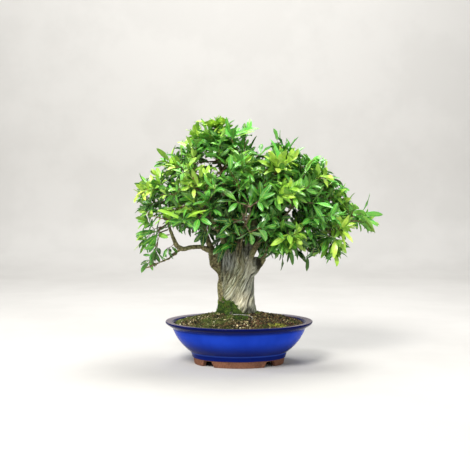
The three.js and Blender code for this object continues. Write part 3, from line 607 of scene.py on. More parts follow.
# the bed's under side is flat over the drain screens, and then lies against the pot's wall up
# to the rim. Its upper side is the mound.
rim = 2 + len(soil_wall)
soil_z = np.empty_like(soil_x)
soil_z[:3] = 26.0
soil_z[3:rim] = np.maximum(soil_wall[:-1, 1:], 27.0)
soil_z[rim:] = soil_height(soil_x[rim:].ravel(), soil_y[rim:].ravel()).reshape(-1, soil_columns)
soil_quads = band_faces(len(soil_lengths), soil_columns)
soil_bed = build_mesh("soil_bed", standing_points(soil_x, soil_y, soil_z), soil_quads)
soil_bed = closed_copy(soil_bed, "soil_bed")

random = np.random.default_rng(11)
grain_total = 6600
grain_index = np.arange(grain_total)
grain_share = np.sqrt((grain_index + 0.5) / grain_total) * 0.982
grain_turn = grain_index * np.pi * (3 - 5**0.5)
grain_x = (soil_length - 0.5) * grain_share * np.cos(grain_turn)
grain_x += random.normal(0, 0.5, grain_total)
grain_y = (soil_width - 0.5) * grain_share * np.sin(grain_turn)
grain_y += random.normal(0, 0.5, grain_total)
grain_radius = 0.95 + 1.5 * random.random(grain_total) ** 1.9
grain_free = np.hypot((grain_x - trunk_x) / 37.0, grain_y / 33.5) > 1.0
inside_x, inside_y = soil_length - 0.2 - grain_radius, soil_width - 0.2 - grain_radius
grain_free &= np.hypot(grain_x / inside_x, grain_y / inside_y) < 1.0
grain_x, grain_y, grain_radius = grain_x[grain_free], grain_y[grain_free], grain_radius[grain_free]
grain_z = soil_height(grain_x, grain_y) + grain_radius * (0.1 + 0.6 * random.random(len(grain_x)))
grain_stretch = 0.72 + 0.56 * random.random((len(grain_x), 3))
grain_centres = np.column_stack([grain_x + pot_x, grain_y + pot_y, grain_z])
grains = lumps_at(grain_centres, grain_radius, grain_stretch, 0.5, random)
soil_mesh = build_mesh("soil_whole", *joined([mesh_parts(soil_bed), grains]))
# each grain's kind, and how green the algae has made it: in patches, and more on the left
grain_kind = random.random(len(grain_x)) * (1 - 0.1 * np.clip((grain_x - 10) / 40, 0, 1))
grain_green = layered_noise(np.column_stack([grain_x / 22, grain_y / 22, grain_x * 0]), 5, 3)
grain_green = np.clip((grain_green - 0.42) * 3.2 + np.clip(-grain_x / 130, -0.5, 0.5), 0, 1)
bed_part = np.ones(len(soil_bed.vertices))
set_values(
    soil_mesh,
    kind=np.concatenate([0.12 * bed_part, np.repeat(grain_kind, 12)]),
    green=np.concatenate([0.3 * bed_part, np.repeat(grain_green, 12)]),
)


def stored(tree, name, output="Fac"):
    """A number, or a vector, that each vertex carries."""
    return put(tree, "ShaderNodeAttribute", attribute_name=name).outputs[output]


soil_mix, tree, shader, place = new_material("potting_mix")
earth = ramp(
    tree,
    stored(tree, "kind"),
    [
        (0.0, paint(18, 16, 11)),
        (0.28, paint(34, 30, 18)),
        (0.44, paint(94, 80, 52)),
        (0.58, paint(96, 60, 42)),
        (0.7, paint(58, 62, 30)),
        (0.84, paint(122, 112, 72)),
        (0.95, paint(176, 164, 120)),
        (1.0, paint(228, 218, 182)),
    ],
)
algae = mottled(tree, place, paint(44, 58, 20), paint(98, 118, 48), 240.0, 0.35, 0.65)
earth = tint(tree, earth, stored(tree, "green"), 0.62, algae)
earth = tint(tree, earth, mottle(tree, place, 700.0, 0.35, 0.7), 0.35, paint(38, 32, 22))
pores = bumps(tree, noise(tree, place, 1500.0, 3.0), 0.5, 0.0004)
surface(tree, shader, earth, 0.92, specular=0.25, normal=pores)

soil_piece = add_piece("soil_granules", soil_mesh, soil_mix, 32.0)
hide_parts("soil")

# =====================================================================================
# Trunk and limbs
# An old pomegranate stump: furrowed, silvery deadwood that twists to the right as it
# climbs, with a strip of live bark up its left side, and live limbs out of its broken top.
# =====================================================================================


def merged_copy(node_name):
    """A CAD node's corners in millimetres, each once, and its triangles."""
    corners, triangles = mesh_parts(frame["nodes"][node_name].data)
    microns = np.round(corners * 1e3).astype(np.int64)
    _, first, same = np.unique(microns, axis=0, return_index=True, return_inverse=True)
    return corners[first], same.ravel()[triangles]


def relaxed(points, edges, rounds):
    """Points after some rounds of smoothing that keeps the volume: each round moves every
    point towards the mean of its neighbours and then a little further back."""
    counts = np.bincount(edges.ravel(), minlength=len(points))[:, None]
    for _ in range(rounds):
        for step in (0.5, -0.52):
            total = np.zeros_like(points)
            for axis in range(3):
                total[:, axis] = np.bincount(edges[:, 0], points[edges[:, 1], axis], len(points))
                total[:, axis] += np.bincount(edges[:, 1], points[edges[:, 0], axis], len(points))
            points = points + step * (total / counts - points)
    return points


def line_distance(x, z, line):
    """The distance in elevation from each point to a run of straight stretches."""
    nearest = np.full(len(x), 1e9)
    for (x0, z0), (x1, z1) in zip(line[:-1], line[1:]):
        run_x, run_z = x1 - x0, z1 - z0
        share = ((x - x0) * run_x + (z - z0) * run_z) / (run_x**2 + run_z**2)
        share = np.clip(share, 0, 1)
        nearest = np.minimum(nearest, np.hypot(x - x0 - share * run_x, z - z0 - share * run_z))
    return nearest


def past(values, start, run):
    """How far values are on the way from `start` to `start + run`, from 0 to 1."""
    return np.clip((values - start) / run, 0, 1)


def spot(x, z, middle_x, middle_z, wide, high):
    """A soft spot in elevation, 1 in its middle and falling off as a bell."""
    return np.exp(-(((x - middle_x) / wide) ** 2) - ((z - middle_z) / high) ** 2)


def move_points(mesh, points):
    """Gives a mesh new places for its corners, in millimetres."""
    mesh.vertices.foreach_set("co", (points * mm).ravel())
    mesh.update()


# old wood has grown across the fork of the right limb, and is hollow there
fork_wood = lumps_at(
    np.array([(37.0, -9.0, 212.0), (35.0, -4.0, 221.0)]) + pot_middle,
    np.ones(2),
    np.array([(10.5, 9.0, 17.0), (8.0, 7.0, 10.0)]),
    0.0,
    np.random.default_rng(1),
)
trunk_rough = build_mesh("trunk_rough", *joined([merged_copy("trunk"), fork_wood]))
voxels = {"mode": "VOXEL", "voxel_size": 1.38 * mm}
trunk_mesh = after_modifiers(trunk_rough, "rough", [("REMESH", voxels)])
trunk_mesh.name = "trunk_whole"
trunk_edges = values_of(trunk_mesh.edges, "vertices", 2, np.int32)
trunk_points = relaxed(values_of(trunk_mesh.vertices, "co", 3) / mm, trunk_edges, 7)
move_points(trunk_mesh, trunk_points)
trunk_normals = values_of(trunk_mesh.vertex_normals, "vector", 3)

x, y, z = (trunk_points - pot_middle).T
radial = np.hypot(x - trunk_x, y / 0.9)
front = past(y, 4.0, -14.0) * (z < 275)
# the fibres lean to the right as they climb: most in the lower half, and hardly at the top
climb = np.linspace(60, 300, 241)
lean_heights = [84, 116, 132, 176, 206, 236]
lean_rates = np.interp(climb, lean_heights, [0.006, 0.010, 0.0165, 0.0165, 0.007, 0.001])
lean = np.interp(z, climb, np.cumsum(lean_rates))
waver = layered_noise(trunk_points / np.array([24.0, 24.0, 34.0]), 13, 2) - 0.5
angle = np.arctan2(y / 0.9, x - trunk_x) - lean + 0.52 * waver
stump = past(z, 268, -22) * past(radial, 52, -8)
limb_grain = np.column_stack([x * 0.5, y * 0.5, z * 0.5])
fibre = np.column_stack([36 * np.cos(angle), 36 * np.sin(angle), z / 9.0])
grain = stump[:, None] * fibre + (1 - stump[:, None]) * limb_grain
furrows = layered_noise(grain / np.array([4.4, 4.4, 3.8]), 3, 2)
furrows = np.clip(1 - np.abs(2 * furrows - 1) * 5.0, 0, 1)
# in places the wood has weathered smooth
weathered = 2.2 * value_noise(grain / np.array([13.0, 13.0, 8.0]), 91) - 0.25
furrows *= np.clip(weathered, 0.1, 1.25)
clefts = layered_noise(grain / np.array([8.4, 8.4, 6.0]), 53, 2)
clefts = np.clip(1 - np.abs(2 * clefts - 1) * 7.0, 0, 1)
strands = layered_noise(grain / 2.2, 7, 3) - 0.5
bark_plates = layered_noise(np.column_stack([x, y, z * 0.6]) / 4.2, 9, 3) - 0.5
knots = layered_noise(trunk_points / 17.0, 21, 2) - 0.5
burl = past(x, -37, -6) * np.exp(-(((z - 222) / 24) ** 2))
warts = layered_noise(trunk_points / 7.5, 27, 2) - 0.5

# deep slits in the front: the line of each in elevation, its width and its depth
slits = np.zeros(len(trunk_points))
for line, width, depth in (
    ([(-37, 240), (-36.5, 200)], 1.1, 1.0),
    ([(-36.5, 200), (-34, 160), (-32, 122)], 0.8, 0.6),
    ([(-30, 236), (-31, 205), (-28, 184)], 0.9, 0.8),
    ([(-24, 240), (-25, 208)], 0.9, 0.8),
    ([(-17, 236), (-19, 214), (-25, 190)], 0.8, 0.7),
    ([(1, 270), (0, 246), (-3, 231)], 2.8, 1.0),
    ([(9, 262), (7, 240), (2, 222)], 1.2, 0.8),
    ([(21, 262), (20, 236), (15, 212)], 1.1, 0.8),
    ([(18, 214), (11, 190), (-2, 166)], 0.9, 0.7),
    ([(-6, 226), (-13, 196), (-26, 170)], 0.9, 0.8),
    ([(26, 190), (17, 166), (8, 148)], 0.9, 0.6),
    ([(2, 182), (-10, 156), (-22, 136)], 0.9, 0.7),
    ([(28, 158), (23, 140), (17, 124)], 1.1, 0.8),
    ([(-17, 113), (-17, 101)], 2.6, 0.9),
    ([(22, 121), (30, 104)], 2.0, 0.6),
):
    away = line_distance(x + 1.6 * waver, z, line)
    slits = np.maximum(slits, depth * np.exp(-((away / width) ** 2)))
slits *= front
hollow = 1.3 - np.hypot((x - 40.5) / 5.6, (z - 212) / 12.5) + 1.2 * waver
hollow = np.clip(hollow, 0, 1) * past(y, 2, -8)
live_edge = np.interp(z, [100, 125, 160, 200, 236], [-30, -32, -34, -36.5, -37])
live = np.maximum(1 - stump, past(live_edge - x, 0, 2.0) * past(y, 8, -10))
pale = np.maximum(spot(x, z, 8, 137, 22, 17), 0.7 * spot(x, z, -11, 246, 7, 12))
pale = np.maximum(pale, 0.5 * spot(x, z, 21, 205, 9, 32)) * front
patch = layered_noise(trunk_points / 6.0, 41, 3) - 0.5
moss_edge = np.interp(x, [-46, -33, -18, -4, 4, 12, 40], [136, 142, 143, 131, 119, 111, 106])
moss = past(moss_edge - z + 26 * patch, 0, 7.0) * past(y, 16, -14)
moss = np.maximum(moss, past(110 - z + 20 * patch, 0, 5.0) * 0.8)
moss_gap = line_distance(x, z, [(-17, 111), (-17, 103)])
moss *= 1 - np.exp(-((moss_gap / 3.2) ** 2)) * front

stub = spot(x, z, 18, 120, 5, 6) * front
dead_relief = 2.0 * strands - 0.9 * furrows - 1.2 * clefts + 1.2 * knots + 3.2 * stub
live_relief = 1.5 * bark_plates - 0.9 * clefts + 0.9 * knots + burl * (16.0 * warts + 2.6)
# the burl ends below in an undercut, and the foot spreads into the moss on the left
undercut = np.exp(-(((z - 184) / 13) ** 2)) * past(x, -32, -8)
flare = past(z, 116, -14) * past(x, -14, -16)
slim = np.clip(radial / 60, 0, 1) * (1 - stump)
relief = (1 - live) * dead_relief + live * live_relief * (1 - 0.55 * slim)
relief = relief * (1 - 0.5 * moss) - 2.8 * slits - 5.0 * hollow + 0.8 * moss * (patch + 0.35) - 0.2
relief += 3.4 * flare - 6.5 * undercut
trunk_points = trunk_points + trunk_normals * (relief * past(z, 84, 10))[:, None]
move_points(trunk_mesh, trunk_points)
# painted shade: the slits, the hollow in the fork, the furrows, the clefts and the under side of
# the burl are painted near black
shade_under_burl = burl * past(z, 211, -8) * np.clip(0.5 - 3 * warts, 0, 1)
pit = slits + 1.6 * hollow + (0.4 * furrows + 0.6 * clefts) * (1 - 0.5 * live) + 0.8 * shade_under_burl
foot = past(122 - z + 22 * patch, 0, 12) * (1 - 0.7 * pale * (x < 12))
set_values(
    trunk_mesh,
    grain=grain,
    live=live,
    moss=moss,
    pale=pale,
    silver=past(x, -2, -16) * past(z, 190, 20) + 0.55 * (x > 12),
    pit=np.clip(pit, 0, 1),
    strand=np.clip(0.5 + 1.5 * strands, 0, 1),
    foot=np.maximum(foot, stub),
)

old_wood, tree, shader, place = new_material("old_wood")
fibres = stored(tree, "grain", "Vector")
streak = times(tree, noise(tree, fibres, 0.92, 6.0, 0.72), 0.72)
streak = maths(tree, "ADD", streak, times(tree, stored(tree, "strand"), 0.28))
dead = ramp(
    tree,
    streak,
    [
        (0.35, paint(44, 43, 30)),
        (0.43, paint(100, 102, 76)),
        (0.49, paint(142, 145, 115)),
        (0.56, paint(184, 187, 160)),
        (0.65, paint(226, 228, 210)),
    ],
)
tan = mottled(tree, fibres, paint(92, 78, 48), paint(156, 142, 98), 0.5, 0.35, 0.65)
dead = tint(tree, dead, mottle(tree, fibres, 0.1, 0.42, 0.62, 3.0), 0.45, tan)
cool = mottled(tree, fibres, paint(104, 116, 112), paint(206, 212, 212), 0.9, 0.36, 0.62)
dead = tint(tree, dead, stored(tree, "silver"), 0.5, cool)
cream = mottled(tree, fibres, paint(168, 156, 110), paint(250, 244, 214), 0.8, 0.36, 0.56)
dead = tint(tree, dead, stored(tree, "pale"), 0.92, cream)
bark = mottled(tree, place, paint(70, 62, 40), paint(154, 146, 104), 230.0, 0.36, 0.66, 6.0)
lichen = mottle(tree, place, 75.0, 0.46, 0.62, 5.0)
bark = tint(tree, bark, lichen, 0.5, paint(128, 134, 88))
wood = mix(tree, stored(tree, "live"), dead, bark)
damp = mottled(tree, place, paint(34, 40, 28), paint(84, 88, 64), 160.0, 0.3, 0.7)
wood = tint(tree, wood, stored(tree, "foot"), 0.7, damp)
# painted shade in the slits, the hollow, the furrows and clefts and under the burl
wood = tint(tree, wood, stored(tree, "pit"), 0.88, paint(24, 22, 14))
green = mottled(tree, place, paint(28, 46, 12), paint(84, 114, 34), 330.0, 0.35, 0.65)
green = tint(tree, green, mottle(tree, place, 85.0, 0.5, 0.66), 0.45, paint(112, 100, 42))
green = tint(tree, green, mottle(tree, place, 70.0, 0.44, 0.6, 3.0), 0.6, paint(22, 32, 10))
wood = mix(tree, between(tree, stored(tree, "moss"), 0.25, 0.75), wood, green)
threads = bumps(tree, noise(tree, fibres, 1.4, 6.0, 0.7), 0.75, 0.0012)
surface(tree, shader, wood, 0.82, specular=0.3, normal=threads)

trunk_piece = add_piece("trunk_deadwood", trunk_mesh, old_wood, 75.0)
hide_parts("trunk")

# =====================================================================================
# Shoots
# Live stems out of the limbs, with side twigs and glossy, narrow leaves in opposite pairs.
# New growth at the outside of the crown is yellow-green, and the rest is deep green.
# =====================================================================================

up = np.array([0.0, 0.0, 1.0])
low_limit, high_limit = np.array(cad_low) / mm, np.array(cad_high) / mm
core = pot_middle + np.array([4.0, 0.0, 285.0])  # the middle of the crown
eye_away, eye_high = 1807.5, 351.5  # how far the camera stands from the pot, and how high


def unit(vectors):
    """Vectors at a length of one."""
    return vectors / (np.linalg.norm(vectors, axis=-1, keepdims=True) + 1e-12)


def square_to(vectors, axes):
    """The part of each vector that is square to its axis, at a length of one."""
    return unit(vectors - axes * (vectors * axes).sum(axis=1, keepdims=True))


def read_shoot(node_name):
    """A CAD shoot taken apart into its blades and its bare stem. A blade's point is a corner
    with three neighbours: the two sides of the second station, and the keel, which is about
    twice as far away. The first station's sides are next to both, and the root's loop next
    to them."""
    corners, triangles = merged_copy(node_name)
    count = len(corners)
    linked = np.zeros((count, count), dtype=bool)
    for first, second in ((0, 1), (1, 2), (2, 0)):
        linked[triangles[:, first], triangles[:, second]] = True
        linked[triangles[:, second], triangles[:, first]] = True
    apart = np.linalg.norm(corners[:, None] - corners[None], axis=2)
    reach = np.where(linked, apart, 1e9)
    order = np.argsort(reach, axis=1)[:, :3]
    nearest = np.take_along_axis(reach, order, axis=1)
    ratio = 2 * nearest[:, 2] / (nearest[:, 0] + nearest[:, 1])
    slim = (nearest[:, 0] > 6) & (ratio > 1.7) & (ratio < 2.4)
    tips = np.flatnonzero((linked.sum(axis=1) == 3) & slim)
    high, keel = order[tips, :2], order[tips, 2]
    low = (linked[high[:, 0]] | linked[high[:, 1]]) & linked[keel]
    rows = np.arange(len(tips))
    for known in (high[:, 0], high[:, 1], tips):
        low[rows, known] = False
    blade = np.zeros(count, dtype=bool)
    blade[tips] = blade[keel] = True
    blade[high.ravel()] = True
    blade |= low.any(axis=0)
    loop = ((low.astype(int) @ linked.astype(int)) > 0) | linked[keel]
    loop &= ~blade
    low_middle = (low.astype(float) @ corners) / low.sum(axis=1)[:, None]
    root = (loop.astype(float) @ corners) / loop.sum(axis=1)[:, None]
    found = {
        "root": root,
        "ahead": unit(low_middle - root),
        "face": unit(low_middle - corners[keel]),
        "tip": corners[tips],
        "width": np.linalg.norm(corners[high[:, 0]] - corners[high[:, 1]], axis=1) / 0.8,
    }
    return found, corners, triangles[(~blade)[triangles].all(axis=1)]


def rounded_stem(corners, triangles):
    """The bare stem with the holes where its leaves stood closed, and its edges rounded."""
    work = bmesh.new()
    work.from_mesh(build_mesh("stem", corners, triangles))
    loose = [vertex for vertex in work.verts if not vertex.link_faces]
    bmesh.ops.delete(work, geom=loose, context="VERTS")
    rims = [edge for edge in work.edges if edge.is_boundary]
    bmesh.ops.holes_fill(work, edges=rims, sides=0)
    plain = bpy.data.meshes.new("stem_closed")
    work.to_mesh(plain)
    work.free()
    finer = ("SUBSURF", {"levels": 1, "render_levels": 1})
    return mesh_parts(after_modifiers(plain, "stem", [finer]))


def rings_round(ahead, corners, first):
    """A ring of points one unit from the line of each direction: they turn round it evenly
    from a start square to the upright, or to the x axis where `first` stands upright."""
    steep = np.abs(first[..., 2:]) > 0.9
    helper = np.broadcast_to(np.where(steep, np.array([1.0, 0.0, 0.0]), up), ahead.shape)
    across = unit(np.cross(ahead, helper))
    beside = np.cross(ahead, across)
    turn = np.arange(corners)[:, None] * 2 * np.pi / corners
    return across[..., None, :] * np.cos(turn) + beside[..., None, :] * np.sin(turn)


def skin_faces(count, rings):
    """Triangles of closed skins, each with a first corner, rings of four and a last corner: a
    fan at either end, and two triangles on each side between one ring and the next."""
    here = np.arange(4)
    after = (here + 1) % 4
    faces = [np.column_stack([np.zeros(4, int), 1 + after, 1 + here])]
    for low in range(1, 4 * rings - 3, 4):
        high = low + 4
        faces.append(np.column_stack([low + here, low + after, high + after]))
        faces.append(np.column_stack([low + here, high + after, high + here]))
    last = 4 * rings - 3
    faces.append(np.column_stack([last + here, last + after, np.full(4, last + 4)]))
    return repeated(np.vstack(faces), count, 4 * rings + 2)


def tubes(paths, radii):
    """Four-sided closed rods along paths of equally many points: a square ring across the
    path at each point, and a fan over each end."""
    count, steps = paths.shape[:2]
    ahead = unit(np.gradient(paths, axis=1))
    rings = paths[:, :, None] + rings_round(ahead, 4, ahead[:, :1]) * radii[:, :, None, None]
    points = [paths[:, :1], rings.reshape(count, 4 * steps, 3), paths[:, -1:]]
    return np.concatenate(points, axis=1).reshape(-1, 3), skin_faces(count, steps)


# where a leaf's five rings stand along it, and its width there as a share of the widest
stations = np.array([0.09, 0.27, 0.5, 0.73, 0.9])
lance = np.array([0.14, 0.72, 1.0, 0.84, 0.45])
leaf_corners = 22


def blades(root, ahead, face, length, width, curl, fold, wave):
    """Leaves as closed skins of twenty-two corners: a root, five rings of left edge, upper
    midrib, right edge and lower midrib, and a point. The midrib is an arc that bends away
    from the upper face by `curl`, the width follows a lance's outline, the two halves rise
    from the midrib by `fold`, and the edges go up and down by `wave`."""
    count = len(root)
    side = np.cross(face, ahead)

    def midrib(at):
        """Points of the midrib at shares of its length."""
        forward = at - (curl[:, None] ** 2) * at**3 / 6
        down = curl[:, None] * at**2 / 2
        run = ahead[:, None] * forward[..., None] - face[:, None] * down[..., None]
        return root[:, None] + run * length[:, None, None]

    middle = midrib(np.broadcast_to(stations, (count, 5)))
    tip = midrib(np.ones((count, 1)))
    bend = curl[:, None] * stations
    normal = face[:, None] * np.cos(bend)[..., None] + ahead[:, None] * np.sin(bend)[..., None]
    half = lance * width[:, None] / 2
    out = side[:, None] * (half * np.cos(fold)[:, None])[..., None]
    rise = half * np.sin(fold)[:, None]
    ripple = np.sin(stations * 11 + 9 * wave[:, None] + length[:, None])
    ripple = wave[:, None] * half * ripple
    left = middle + out + normal * (rise + ripple)[..., None]
    right = middle - out + normal * (rise - ripple)[..., None]
    top, under = middle + normal * 0.1, middle - normal * 0.28
    rings = np.stack([left, top, right, under], axis=2).reshape(count, 20, 3)
    points = np.concatenate([root[:, None], rings, tip], axis=1).reshape(-1, 3)
    return points, skin_faces(count, 5)


def leaf_values(count):
    """How far each corner of a blade lies across it, along it, and on its under side."""
    values = {
        "across": [0.0, *np.tile([-1.0, 0.0, 1.0, 0.0], 5), 0.0],
        "along": [0.0, *np.repeat(stations, 4), 1.0],
        "under": [0.5, *np.tile([0.5, 0.0, 0.5, 1.0], 5), 0.5],
    }
    return {name: np.tile(each, count) for name, each in values.items()}


def crown_part(shoot_name):
    """The part of the crown that a shoot's name gives."""
    return shoot_name[len("shoot_") :].rsplit("_", 1)[0]


slot_of = {part["node"]: part["material_slot"] for part in frame["record"]["subparts"]}
shoot_names = sorted(name for name in frame["nodes"] if name.startswith("shoot_"))
shoot_blades, shoot_stems = [], []
for name in shoot_names:
    found, corners, stem_triangles = read_shoot(name)
    shoot_blades.append(found)
    shoot_stems.append(rounded_stem(corners, stem_triangles))
owner = np.repeat(np.arange(len(shoot_names)), [len(found["root"]) for found in shoot_blades])
root, ahead, face, tip, width = (
    np.concatenate([found[key] for found in shoot_blades])
    for key in ("root", "ahead", "face", "tip", "width")
)
face = square_to(face, ahead)
length = np.linalg.norm(tip - root, axis=1)


def nearest_shoot(points):
    """The shoot with the leaf point that is nearest to each place."""
    return owner[np.linalg.norm(points[:, None] - tip[None], axis=2).argmin(axis=1)]


# ---- where side twigs end: spread evenly through the outer part of the crown ----
# The crown's upper and lower limits from left to right, in millimetres from the pot's middle:
# two humps on top, a long right side and a thin lower left.
crown_top = np.array(
    [
        (-240, 352), (-206, 388), (-176, 428), (-118, 452), (-98, 484), (-62, 512), (-36, 508),
        (-20, 478), (8, 478), (26, 468), (40, 434), (54, 426), (68, 452), (84, 474), (102, 456),
        (142, 432), (184, 420), (204, 392), (240, 362), (262, 326), (300, 304),
    ],
    float,
)
crown_foot = np.array(
    [
        (-240, 330), (-214, 300), (-190, 286), (-150, 280), (-110, 272), (-60, 268), (-34, 256),
        (4, 262), (30, 262), (60, 252), (84, 244), (146, 246), (186, 252), (206, 272), (232, 290),
        (300, 292),
    ],
    float,
)
random = np.random.default_rng(5)
spacing = 22.0
grid = np.meshgrid(np.arange(-11, 15), np.arange(-7, 8), np.arange(9, 25), indexing="ij")
cells = np.stack(grid, axis=-1).reshape(-1, 3)
target = cells * spacing + (cells[:, 2:] % 2) * spacing / 2 * np.array([1.0, 1.0, 0.0])
target = target + random.uniform(-0.42, 0.42, target.shape) * spacing
x_at, y_at, z_at = target.T
high_edge, low_edge = np.interp(x_at, *crown_top.T), np.interp(x_at, *crown_foot.T)
middle_height = low_edge + 0.46 * (high_edge - low_edge)
above = z_at > middle_height
half_height = np.where(above, high_edge - middle_height, middle_height - low_edge)
# the crown is an egg in plan, and lumpy in depth
end_share = np.abs(x_at - 12) / 268
half_depth = 150.0 * np.clip(1 - end_share**2.6, 0, 1) ** 0.45
half_depth *= 0.7 + 0.38 * value_noise(np.column_stack([x_at / 58, 0 * x_at, z_at / 46]), 19)
power = np.where(above, 2.1, 3.0)
depth_share = np.clip(np.abs(y_at) / (half_depth - 16), 0, 3)
spare = np.where(above, 14, 4)
height_share = np.clip(np.abs(z_at - middle_height) / (half_height - spare), 0, 3)
fullness = (depth_share**power + height_share**power) ** (1 / power)
wanted = (fullness < 1.0) & (x_at > -208) & (x_at < 280)
wanted &= (np.maximum(fullness, end_share) > 0.5) | (random.random(len(target)) < 0.3)
wanted &= ~((np.hypot(x_at - trunk_x, y_at) < 52) & (z_at < 274))
# the upper left and the lower left are thin, and elsewhere the crown thins in patches
thin = (x_at < -60) & (z_at < 300)
airy = np.hypot((x_at + 115) / 88, (z_at - 398) / 74) < 1
clumped = 2.3 * value_noise(target / np.array([34.0, 110.0, 28.0]), 77) - 0.46
share = np.where(thin, 0.38, np.where(airy, 0.62 * clumped, clumped))
wanted &= random.random(len(target)) < share
target = target[wanted] + pot_middle

# single sprays stand out of the crown: the end of each in millimetres from the pot's middle,
# and the way in which its leaves point
sprays = np.array(
    [
        (-60, -10, 502, -0.2, 0.0, 1.0), (-40, 10, 500, 0.3, 0.0, 1.0),
        (-92, -20, 478, -0.5, 0.0, 1.0), (-112, 5, 446, -1.0, 0.0, 0.7),
        (18, -20, 484, 0.8, -0.1, 0.7), (6, 20, 478, 0.5, 0.0, 1.0),
        (80, -15, 468, -0.1, -0.2, 1.0), (92, 10, 460, 0.4, 0.0, 1.0),
        (112, -10, 448, 0.6, 0.0, 0.8), (150, -20, 424, 0.4, -0.2, 0.9),
        (182, 0, 416, 0.9, 0.0, 0.6), (204, 20, 392, 0.8, 0.0, 0.7),
        (222, -10, 362, 1.0, -0.1, 0.5), (240, 10, 342, 0.9, 0.0, 0.5),
        (268, -16, 304, 1.0, -0.2, 0.1), (262, -8, 296, 1.0, 0.0, -0.5),
        (250, 6, 312, 0.8, 0.1, 0.7), (198, -50, 264, 0.5, -0.3, -0.7),
        (196, -40, 240, 0.3, -0.2, -1.0), (150, -60, 236, -0.1, -0.2, -1.0),
        (96, -62, 234, -0.1, -0.2, -1.0), (72, -66, 248, -0.2, -0.3, -1.0),
        (124, -30, 236, 0.1, 0.0, -1.0), (172, -10, 244, 0.2, 0.1, -1.0),
        (202, -20, 250, 0.5, 0.0, -0.9), (-26, -62, 258, -0.1, -0.2, -1.0),
        (-12, -66, 264, 0.2, -0.2, -1.0), (60, -54, 262, 0.1, -0.1, -1.0),
        (-190, -10, 372, -1.0, -0.1, -0.1), (-190, 10, 340, -1.0, 0.0, -0.3),
        (-156, -10, 426, -1.0, 0.0, 0.3), (-172, 0, 396, -0.9, 0.0, 0.5),
        (-190, -30, 304, -0.8, -0.1, -0.8), (-198, -14, 262, -1.0, 0.0, 0.1),
        (-40, 34, 262, -0.1, 0.3, -1.0), (-22, 40, 266, 0.0, 0.2, -1.0),
        (-2, 44, 268, 0.0, 0.3, -1.0), (20, 42, 266, 0.1, 0.3, -1.0),
        (42, 30, 258, 0.2, 0.3, -1.0), (56, 14, 256, 0.4, 0.1, -1.0),
        (-150, -34, 246, 0.2, -0.3, -0.8), (-172, -26, 236, -0.4, -0.1, -0.8),
        (-192, -10, 208, -0.9, 0.0, -0.4), (74, -74, 416, -0.3, -0.2, 1.0),
        (98, -70, 418, 0.4, -0.2, 1.0),
    ]
)
# long single leaves that stand out: root and end of each, how wide it is for its length, and tone
long_leaves = np.array(
    [
        (-110, -118, 306, -158, -132, 332, 0.18, 0.7),
        (-110, -118, 306, -70, -134, 337, 0.18, 0.7), (-16, -30, 478, 40, -34, 505, 0.24, 0.1),
        (-14, -34, 472, 30, -40, 494, 0.26, 0.45), (-192, -30, 258, -224, -34, 251, 0.28, 0.75),
        (-158, -50, 320, -202, -54, 284, 0.2, 0.0), (-158, -50, 320, -186, -52, 262, 0.2, 0.05),
        (-178, -20, 372, -220, -22, 380, 0.26, 0.1), (-182, -30, 338, -222, -34, 328, 0.26, 0.35),
        (-50, -10, 500, -34, -12, 521, 0.34, 0.6), (-50, -10, 500, -58, -14, 520, 0.3, 0.35),
        (76, -90, 412, 62, -100, 448, 0.4, 0.95), (76, -90, 412, 92, -100, 450, 0.38, 0.95),
        (76, -90, 412, 79, -84, 474, 0.28, 0.2), (146, -40, 420, 134, -46, 444, 0.46, 0.8),
        (80, -120, 356, 90, -130, 386, 0.36, 0.5), (84, -96, 262, 116, -108, 276, 0.36, 0.7),
        (78, -92, 258, 80, -96, 228, 0.38, 0.6), (88, -60, 232, 90, -62, 200, 0.32, 0.3),
        (140, -50, 232, 141, -52, 199, 0.34, 0.1), (200, -40, 240, 206, -42, 208, 0.34, 0.05),
        (200, -40, 240, 228, -42, 234, 0.3, 0.05), (200, -40, 240, 178, -44, 224, 0.3, 0.1),
        (256, -8, 304, 293, -12, 284, 0.3, 0.8), (256, -8, 304, 294, -6, 306, 0.28, 0.5),
        (214, -60, 292, 198, -72, 318, 0.4, 0.95), (214, -60, 292, 244, -70, 296, 0.34, 0.9),
        (214, -60, 292, 214, -72, 262, 0.36, 0.85), (-98, -60, 452, -124, -70, 466, 0.42, 0.55),
        (-98, -60, 452, -76, -68, 476, 0.4, 0.5), (-140, -50, 404, -150, -60, 430, 0.34, 0.9),
        (-140, -50, 404, -122, -60, 430, 0.32, 0.9), (-46, -8, 499, -47, -10, 523, 0.32, 0.5),
        (-38, -8, 497, -25, -10, 522, 0.28, 0.15),
    ]
)
long_root, long_end = long_leaves[:, :3] + pot_middle, long_leaves[:, 3:6] + pot_middle
long_ahead = unit(long_end - long_root)
leaf_stems = np.unique(long_root, axis=0)
leaf_stems = np.column_stack([leaf_stems - pot_middle, unit(leaf_stems - core)])
sprays = np.vstack([sprays, leaf_stems])

